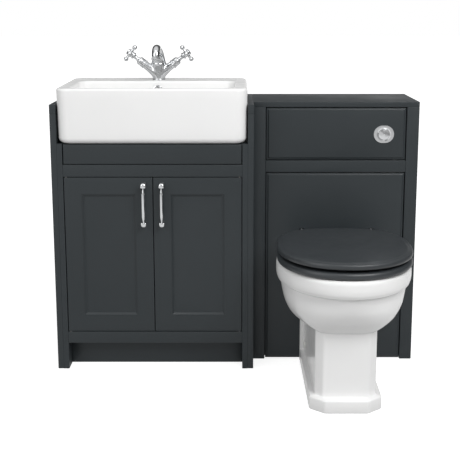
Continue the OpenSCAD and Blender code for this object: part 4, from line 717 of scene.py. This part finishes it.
def pedestal_skin():
    """Pedestal and foot: the octagon goes straight down, hollows out on to the foot's
    ledge, turns its edge and drops to the floor."""
    # growth of the plan, height
    rows = [(0.0, 262.0), (0.0, 200.0), (0.0, 120.0), (0.0, 52.0), (0.3, 43.0), (1.2, 40.6),
            (3.0, 39.2), (10.0, 38.0), (17.5, 37.0), (19.8, 36.3), (21.2, 35.0), (22.0, 32.5),
            (22.0, 3.0), (21.4, 1.0), (20.0, 0.0)]
    return skin([octagon_plan(g, z) for g, z in rows])


def flange_skin():
    """Upright flange on the cabinet beside the pedestal: an eased rectangle in plan,
    carried up from the floor until the belly covers it."""
    plan = frame_ring(WC - FLANGE_HALF, WC + FLANGE_HALF, FACE - FLANGE_THICK, FACE, 6.0, 6)
    plan[:, 1] = np.where(plan[:, 1] > FACE - FLANGE_THICK / 2, FACE, plan[:, 1])
    return skin([np.column_stack([plan, np.full(len(plan), z)]) for z in (0.0, 100.0, 190.0)])


def pipe(x, z, y0, y1, r, wall, around=64):
    """Tube along Y with a wall and both ends open."""
    return turned([(r, 0), (r, y1 - y0), (r - wall, y1 - y0), (r - wall, 0)],
                  axis_place(x, y0, z, (0, 1, 0)), around, wrap=True)


piece("shown_pan", "cabinet", "white_ceramic",
      [pan_skin(), pedestal_skin(), flange_skin(),
       pipe(WC, OUTLET_RISE, -262, -188, OUTLET_R, OUTLET_WALL)], "pan", sharp=30)

# domed caps over the heads of the two side screws
SCREW_AT, SCREW_RISE, HEAD_THICK, DOME_R = FACE - 60.0, 70.0, 3.0, 9.6
low, high = node_box("pan_fixings")
dome = [(DOME_R * math.sin(a), 1.8 + 2.8 * math.cos(a))
        for a in np.linspace(0, math.pi / 2, 9)] + [(DOME_R, -0.5)]
piece("shown_fixing_caps", "cabinet", "white_plastic",
      [turned(dome, axis_place(x - HEAD_THICK * side, SCREW_AT, SCREW_RISE, (side, 0, 0)))
       for x, side in ((low[0], -1), (high[0], 1))])


# ------------------------------------------------------------------ tap
LEDGE_TOP = node_box("tap_body")[0][2]
TAP = np.array([MID, -62.0, LEDGE_TOP])
ARM_RISE, ARM_TURN, ARM_END, CROSS_AT = 14.0, math.radians(38), 55.0, 114.0
CROWN, BONNET_LONG = 58.0, 27.0
ARM_THICK, ARM_TAPER, TAPER_LONG = 17.4, 3.7, 48.0
BLEND, BLEND_BACK = 160.0, 42.0     # softness of the joint, and what is taken off for it
OUTLET_AT = (98.0, 76.0)            # the spout's end: in front of the tap, above the ledge
BALL_R, BALL_AT = 7.4, 23.1


def tap_thickness(x, z):
    """Square of the tap body's half thickness over a point of its front view: the
    round column and the two tapered arms, joined by a smooth maximum."""
    column = np.interp(z, [0, 12, 22, 34, 46, CROWN],
                       [18.5, 18.5, 19.0, 20.5, 23.0, 23.0]) ** 2 - x ** 2
    side = np.sqrt(x ** 2 + 30.0)
    along = side * math.cos(ARM_TURN) + (z - ARM_RISE) * math.sin(ARM_TURN)
    off = -side * math.sin(ARM_TURN) + (z - ARM_RISE) * math.cos(ARM_TURN)
    t = np.clip(along / TAPER_LONG, 0, 1)
    arm = (ARM_THICK - ARM_TAPER * t * t * (3 - 2 * t)) ** 2 - off ** 2
    arm = np.where(along > 0, arm, arm - along ** 2)
    return (column + arm + np.sqrt((column - arm) ** 2 + BLEND ** 2)) / 2 - BLEND_BACK


def tap_body_skin(around=240, out=26):
    """Body of the tap: rays from its middle end on the outline of the front view, where
    the thickness runs out, or on the flat ends of the foot, the arms and the crown."""
    mid = np.array([0.0, 31.0])
    turn = np.linspace(0, 2 * math.pi, around, endpoint=False)
    ray = np.stack([np.cos(turn), np.sin(turn)], axis=1)
    reach = np.linspace(0.5, 75, 900)
    at = mid + reach[None, :, None] * ray[:, None, :]
    x, z = at[..., 0], at[..., 1]
    along = np.abs(x) * math.cos(ARM_TURN) + (z - ARM_RISE) * math.sin(ARM_TURN)
    inside = (tap_thickness(x, z) > 0) & (z > 0) & (z < CROWN) & (
        (along < ARM_END) | (np.abs(x) < 22))
    inside = np.column_stack([inside, np.zeros(around, bool)])
    last = np.argmin(np.cumprod(inside, axis=1), axis=1)
    edge = reach[np.maximum(last - 1, 0)]
    rings = []
    steps = np.sin(np.linspace(0.04, math.pi / 2, out))
    for side, order in ((-1, steps), (1, steps[::-1])):
        for s in order:
            p = mid + s * edge[:, None] * ray
            half = np.sqrt(np.maximum(tap_thickness(p[:, 0], p[:, 1]), 0.04))
            rings.append(np.stack([TAP[0] + p[:, 0], TAP[1] + side * half,
                                   TAP[2] + p[:, 1]], axis=1))
    return skin(rings, cap_first="pole", cap_last="pole")


def tube(path, radius, around):
    """Rings of a round tube carried along a path in the plane x = 0 of the tap, each
    ring square to the path."""
    path = np.asarray(path, float)
    step = np.gradient(path, axis=0)
    step /= np.linalg.norm(step, axis=1)[:, None]
    a = np.linspace(0, 2 * math.pi, around, endpoint=False)
    rings = []
    for (forward, up), (u, v), r in zip(path, step, radius):
        rings.append(np.stack([TAP[0] + r * np.cos(a),
                               TAP[1] - forward + r * np.sin(a) * v,
                               TAP[2] + up + r * np.sin(a) * u], axis=1))
    return rings


def spout_skin(around=48):
    """Swan neck: a cubic curve from the crown to the outlet, thick at the crown, with a
    bead at the outlet and the bore behind it."""
    t = np.linspace(0, 1, 90)[:, None]
    knots = [np.array(p, float) for p in ((0, 52), (0, 103.8), (102, 117.7), OUTLET_AT)]
    path = ((1 - t) ** 3 * knots[0] + 3 * (1 - t) ** 2 * t * knots[1]
            + 3 * (1 - t) * t ** 2 * knots[2] + t ** 3 * knots[3])
    radius = 12.5 + 10.3 * (1 - t[:, 0]) ** 2.4
    rings = tube(path, radius, around)
    a = np.linspace(0, 2 * math.pi, around, endpoint=False)
    for dz, r in ((-0.4, 12.6), (-0.8, 13.4), (-1.4, 14.2), (-6.4, 14.2), (-7.2, 13.6),
                  (-7.6, 12.8), (-7.6, 10.2), (-3.0, 10.0), (-2.5, 4.0)):
        rings.append(np.stack([TAP[0] + r * np.cos(a), TAP[1] - OUTLET_AT[0] - r * np.sin(a),
                               np.full(around, TAP[2] + OUTLET_AT[1] + dz)], axis=1))
    return skin(rings)


def arm_place(side, s, spin=0.0):
    """Matrix with Z along a valve arm, at a distance s from where the arms meet."""
    way = (side * math.cos(ARM_TURN), 0.0, math.sin(ARM_TURN))
    at = TAP + [0, 0, ARM_RISE] + s * np.array(way)
    return axis_place(*at, way, spin)


def bead_profile(r, low, high, n=8):
    """Half round bead of a turned piece, between two heights."""
    a = np.linspace(-math.pi / 2, math.pi / 2, n)
    return [(r + (high - low) / 2 * (math.cos(k) - 1), (low + high) / 2
             + (high - low) / 2 * math.sin(k)) for k in a]


def bonnet_skin(side):
    """Bonnet: a collar bead, a waist, a straight barrel and a dome round the stem."""
    dome = [(9.2 + 4.0 * math.cos(a), 20.0 + 5.5 * math.sin(a))
            for a in np.linspace(0, 1.45, 8)]
    profile = ([(5.4, 0.0), (12.8, 0.0)] + bead_profile(15.0, 0.3, 4.3)
               + [(13.0, 5.0), (13.0, 6.6)] + bead_profile(14.2, 7.0, 9.4)
               + [(13.2, 10.0), (13.2, 20.0)] + dome
               + [(8.0, 25.8), (8.0, 26.9), (5.4, 26.9)])
    return turned(profile, arm_place(side, ARM_END), 64, wrap=True)


def crosshead_skins(side):
    """Crosshead: stem and skirted hub with a domed index cap, and four tapered arms
    that end in balls."""
    base, hub = ARM_END + BONNET_LONG, CROSS_AT - ARM_END - BONNET_LONG
    stem = [(0, -24.0), (5.0, -24.0), (5.0, 0.1), (6.8, 0.1), (7.4, 1.0), (7.4, 2.2),
            (6.3, 4.0), (6.0, 8.0), (6.2, hub - 18), (7.2, hub - 16.6)]
    skirt = bead_profile(11.5, hub - 15.4, hub - 11.6)
    barrel = [(9.9, hub - 9.6), (9.2, hub - 7.0), (9.2, hub + 6.0), (10.2, hub + 6.6),
              (10.4, hub + 7.2), (10.4, hub + 8.6)]
    cap = [(9.6 * math.cos(a), hub + 9.0 + 3.0 * math.sin(a))
           for a in np.linspace(0, 1.45, 7)] + [(0, hub + 12.0)]
    blocks = [turned(stem + skirt + barrel + cap, arm_place(side, base), 48)]
    ball = [(BALL_R * math.cos(a), BALL_AT + BALL_R * math.sin(a))
            for a in np.linspace(-0.98, 1.5, 18)]
    arm = [(0, 6.0), (5.4, 6.0), (4.7, 10.0), (4.1, 16.0)] + ball + [(0, BALL_AT + BALL_R)]
    for k in range(4):
        place = arm_place(side, base + hub) @ Matrix.Rotation(k * math.pi / 2, 4, "Z") \
            @ Matrix.Rotation(math.pi / 2, 4, "Y")
        blocks.append(turned(arm, place, 32))
    return blocks


foot_bead = turned([(0, 0.02), (19.0, 0.02)] + bead_profile(20.5, 0.1, 3.2)
                   + [(18.0, 3.4), (0, 3.4)], axis_place(*TAP), 64)
piece("shown_tap_body", "cabinet", "polished_chrome", [tap_body_skin(), foot_bead], "tap_body",
      sharp=40)
piece("shown_tap_spout", "cabinet", "polished_chrome", [spout_skin()], "tap_spout", sharp=40)
piece("shown_tap_bonnets", "cabinet", "polished_chrome", [bonnet_skin(-1), bonnet_skin(1)],
      "tap_bonnets", sharp=40)
for side, word in ((-1, "left"), (1, "right")):
    piece("shown_tap_handle_" + word, "tap_handle_" + word, "polished_chrome",
          crosshead_skins(side), "tap_handle_" + word, sharp=40)


# ------------------------------------------------------------------ carried-over nodes
SLOT_OF = {entry["node"]: entry["material_slot"] for entry in frame["record"]["subparts"]}
for name, node in frame["nodes"].items():
    node.data.materials.clear()
    node.data.materials.append(FINISH[SLOT_OF[name]])


# ------------------------------------------------------------------ stage
def ramped(tree, value, start, end, low, high):
    """Smooth step of a socket's value: low up to start, high from end on."""
    made = add(tree, "ShaderNodeMapRange", interpolation_type="SMOOTHSTEP")
    for socket, number in (("From Min", start), ("From Max", end), ("To Min", low),
                           ("To Max", high)):
        made.inputs[socket].default_value = number
    tree.links.new(value, made.inputs["Value"])
    return made.outputs["Result"]


def plain(name, colour, rough, near, far):
    """Floor finish: dull for the light that it throws back. Where it is seen it glows,
    from near beside the object to far away from it, so that it turns into the white
    background without an edge."""
    made = bpy.data.materials.new(name)
    made.use_nodes = True
    tree = made.node_tree
    shader = tree.nodes["Principled BSDF"]
    shader.inputs["Base Color"].default_value = (*colour, 1)
    shader.inputs["Roughness"].default_value = rough
    shader.inputs["Specular IOR Level"].default_value = 0.0
    path = add(tree, "ShaderNodeLightPath")
    place = add(tree, "ShaderNodeTexCoord")
    spread = add(tree, "ShaderNodeSeparateXYZ")
    tree.links.new(place.outputs["Object"], spread.inputs["Vector"])
    # what polished pieces see of the floor darkens towards the right
    gloss = ramped(tree, spread.outputs["X"], 0.9, 2.4, 0.6, 0.2)
    either = add(tree, "ShaderNodeMath", operation="MULTIPLY_ADD")
    tree.links.new(path.outputs["Is Glossy Ray"], either.inputs[0])
    tree.links.new(gloss, either.inputs[1])
    tree.links.new(path.outputs["Is Camera Ray"], either.inputs[2])
    away = add(tree, "ShaderNodeVectorMath", operation="LENGTH")
    tree.links.new(place.outputs["Object"], away.inputs[0])
    glow = add(tree, "ShaderNodeMath", operation="MULTIPLY")
    tree.links.new(either.outputs[0], glow.inputs[0])
    tree.links.new(ramped(tree, away.outputs["Value"], 0.5, 2.6, near, far), glow.inputs[1])
    shader.inputs["Emission Color"].default_value = (1, 1, 1, 1)
    tree.links.new(glow.outputs[0], shader.inputs["Emission Strength"])
    return made


FLOOR_HALF, FLOOR_LOW = 30.0, -0.0005
floor_mesh = bpy.data.meshes.new("floor")
floor_mesh.from_pydata([(x * FLOOR_HALF, y * FLOOR_HALF, FLOOR_LOW)
                        for x, y in ((-1, -1), (1, -1), (1, 1), (-1, 1))], [], [(0, 1, 2, 3)])
floor_mesh.materials.append(plain("floor_white", (0.45, 0.45, 0.45), 0.9, 0.85, 0.98))
floor = bpy.data.objects.new("floor", floor_mesh)
bpy.context.scene.collection.objects.link(floor)

ROOM_LEVEL = 0.46               # the world's light on the object; where seen it is 1
world = bpy.data.worlds.new("studio")
bpy.context.scene.world = world
world.use_nodes = True
tree = world.node_tree
back = tree.nodes["Background"]
path = add(tree, "ShaderNodeLightPath")
mirrored = add(tree, "ShaderNodeMath", operation="MAXIMUM")
tree.links.new(path.outputs["Is Camera Ray"], mirrored.inputs[0])
tree.links.new(path.outputs["Is Glossy Ray"], mirrored.inputs[1])
seen = add(tree, "ShaderNodeMath", operation="MAXIMUM")
tree.links.new(mirrored.outputs[0], seen.inputs[0])
tree.links.new(path.outputs["Is Transmission Ray"], seen.inputs[1])
level = add(tree, "ShaderNodeMapRange")
level.inputs["To Min"].default_value = ROOM_LEVEL
level.inputs["To Max"].default_value = 1.0
tree.links.new(seen.outputs[0], level.inputs["Value"])
# what polished pieces show: a bright wall on the camera's side with a soft gap in its
# middle, dark screens beside and behind the object, the background straight behind it
# and the bright ceiling
heading = add(tree, "ShaderNodeTexCoord")
parts = add(tree, "ShaderNodeSeparateXYZ")
tree.links.new(heading.outputs["Generated"], parts.inputs["Vector"])


def screen(axis, stops):
    """Grey levels over one direction from -1 to 1, with straight ramps between."""
    place = add(tree, "ShaderNodeMapRange")
    place.inputs["From Min"].default_value = -1.0
    tree.links.new(parts.outputs[axis], place.inputs["Value"])
    made = add(tree, "ShaderNodeValToRGB")
    ramp = made.color_ramp
    for k, (at, grey) in enumerate(stops):
        stop = ramp.elements[k] if k < 2 else ramp.elements.new(at / 2 + 0.5)
        stop.position = at / 2 + 0.5
        stop.color = (grey, grey, grey, 1)
    tree.links.new(place.outputs["Result"], made.inputs["Fac"])
    return made.outputs["Color"]


def mixed(share, first, second):
    """Grey level between a first at share 0 and a second at share 1."""
    made = add(tree, "ShaderNodeMix", data_type="FLOAT")
    tree.links.new(share, made.inputs["Factor"])
    tree.links.new(first, made.inputs[2])
    tree.links.new(second, made.inputs[3])
    return made.outputs[0]


def product(first, second):
    """Grey level times grey level."""
    made = add(tree, "ShaderNodeMath", operation="MULTIPLY")
    tree.links.new(first, made.inputs[0])
    tree.links.new(second, made.inputs[1])
    return made.outputs[0]


# from left to right on the camera's side, with the soft gap in the middle
camera_wall = screen("X", [(-1.0, 0.3), (-0.75, 0.9), (-0.16, 1.0), (-0.05, 0.42),
                           (0.05, 0.42), (0.15, 0.85), (0.4, 0.55), (0.85, 0.5), (1.0, 0.25)])
side_screens = screen("Y", [(-1.0, 1.0), (-0.3, 1.0), (-0.15, 0.06), (1.0, 0.06)])
straight_behind = screen("Y", [(-1.0, 0.0), (0.86, 0.0), (0.95, 1.0), (1.0, 1.0)])
below_screens = screen("Z", [(-1.0, 1.0), (0.07, 1.0), (0.15, 0.12), (1.0, 0.12)])
back_half = screen("Y", [(-1.0, 0.0), (-0.1, 0.0), (0.1, 1.0), (1.0, 1.0)])
ceiling = screen("Z", [(-1.0, 0.0), (0.5, 0.0), (0.85, 1.0), (1.0, 1.0)])
white = screen("Z", [(-1.0, 1.0), (1.0, 1.0)])
walls = product(mixed(back_half, camera_wall, white), side_screens)
around = mixed(product(straight_behind, below_screens), walls, white)
strength = mixed(path.outputs["Is Glossy Ray"], level.outputs["Result"],
                 mixed(ceiling, around, white))
tree.links.new(strength, back.inputs["Strength"])
back.inputs["Color"].default_value = (1, 1, 1, 1)


def soft_light(name, place, aim, size, power, tall=None):
    """Rectangular soft light that faces a point."""
    data = bpy.data.lights.new(name, "AREA")
    data.shape = "RECTANGLE"
    data.size, data.size_y = size, tall or size
    data.energy = power
    lamp = bpy.data.objects.new(name, data)
    bpy.context.scene.collection.objects.link(lamp)
    lamp.location = place
    lamp.rotation_euler = (Vector(aim) - Vector(place)).to_track_quat("-Z", "Y").to_euler()


# place, aim, width in metres, watts, height where it isn't the width
soft_light("key", (1.3, -1.9, 2.5), (0.25, 0.0, 0.90), 1.5, 57)
soft_light("fill", (-2.4, -2.2, 2.2), (0.1, -0.2, 0.60), 2.2, 28)
soft_light("top", (0.0, -0.9, 3.0), (0.0, 0.0, 0.5), 2.4, 8, 1.4)

bpy.context.scene.view_settings.view_transform = "Standard"
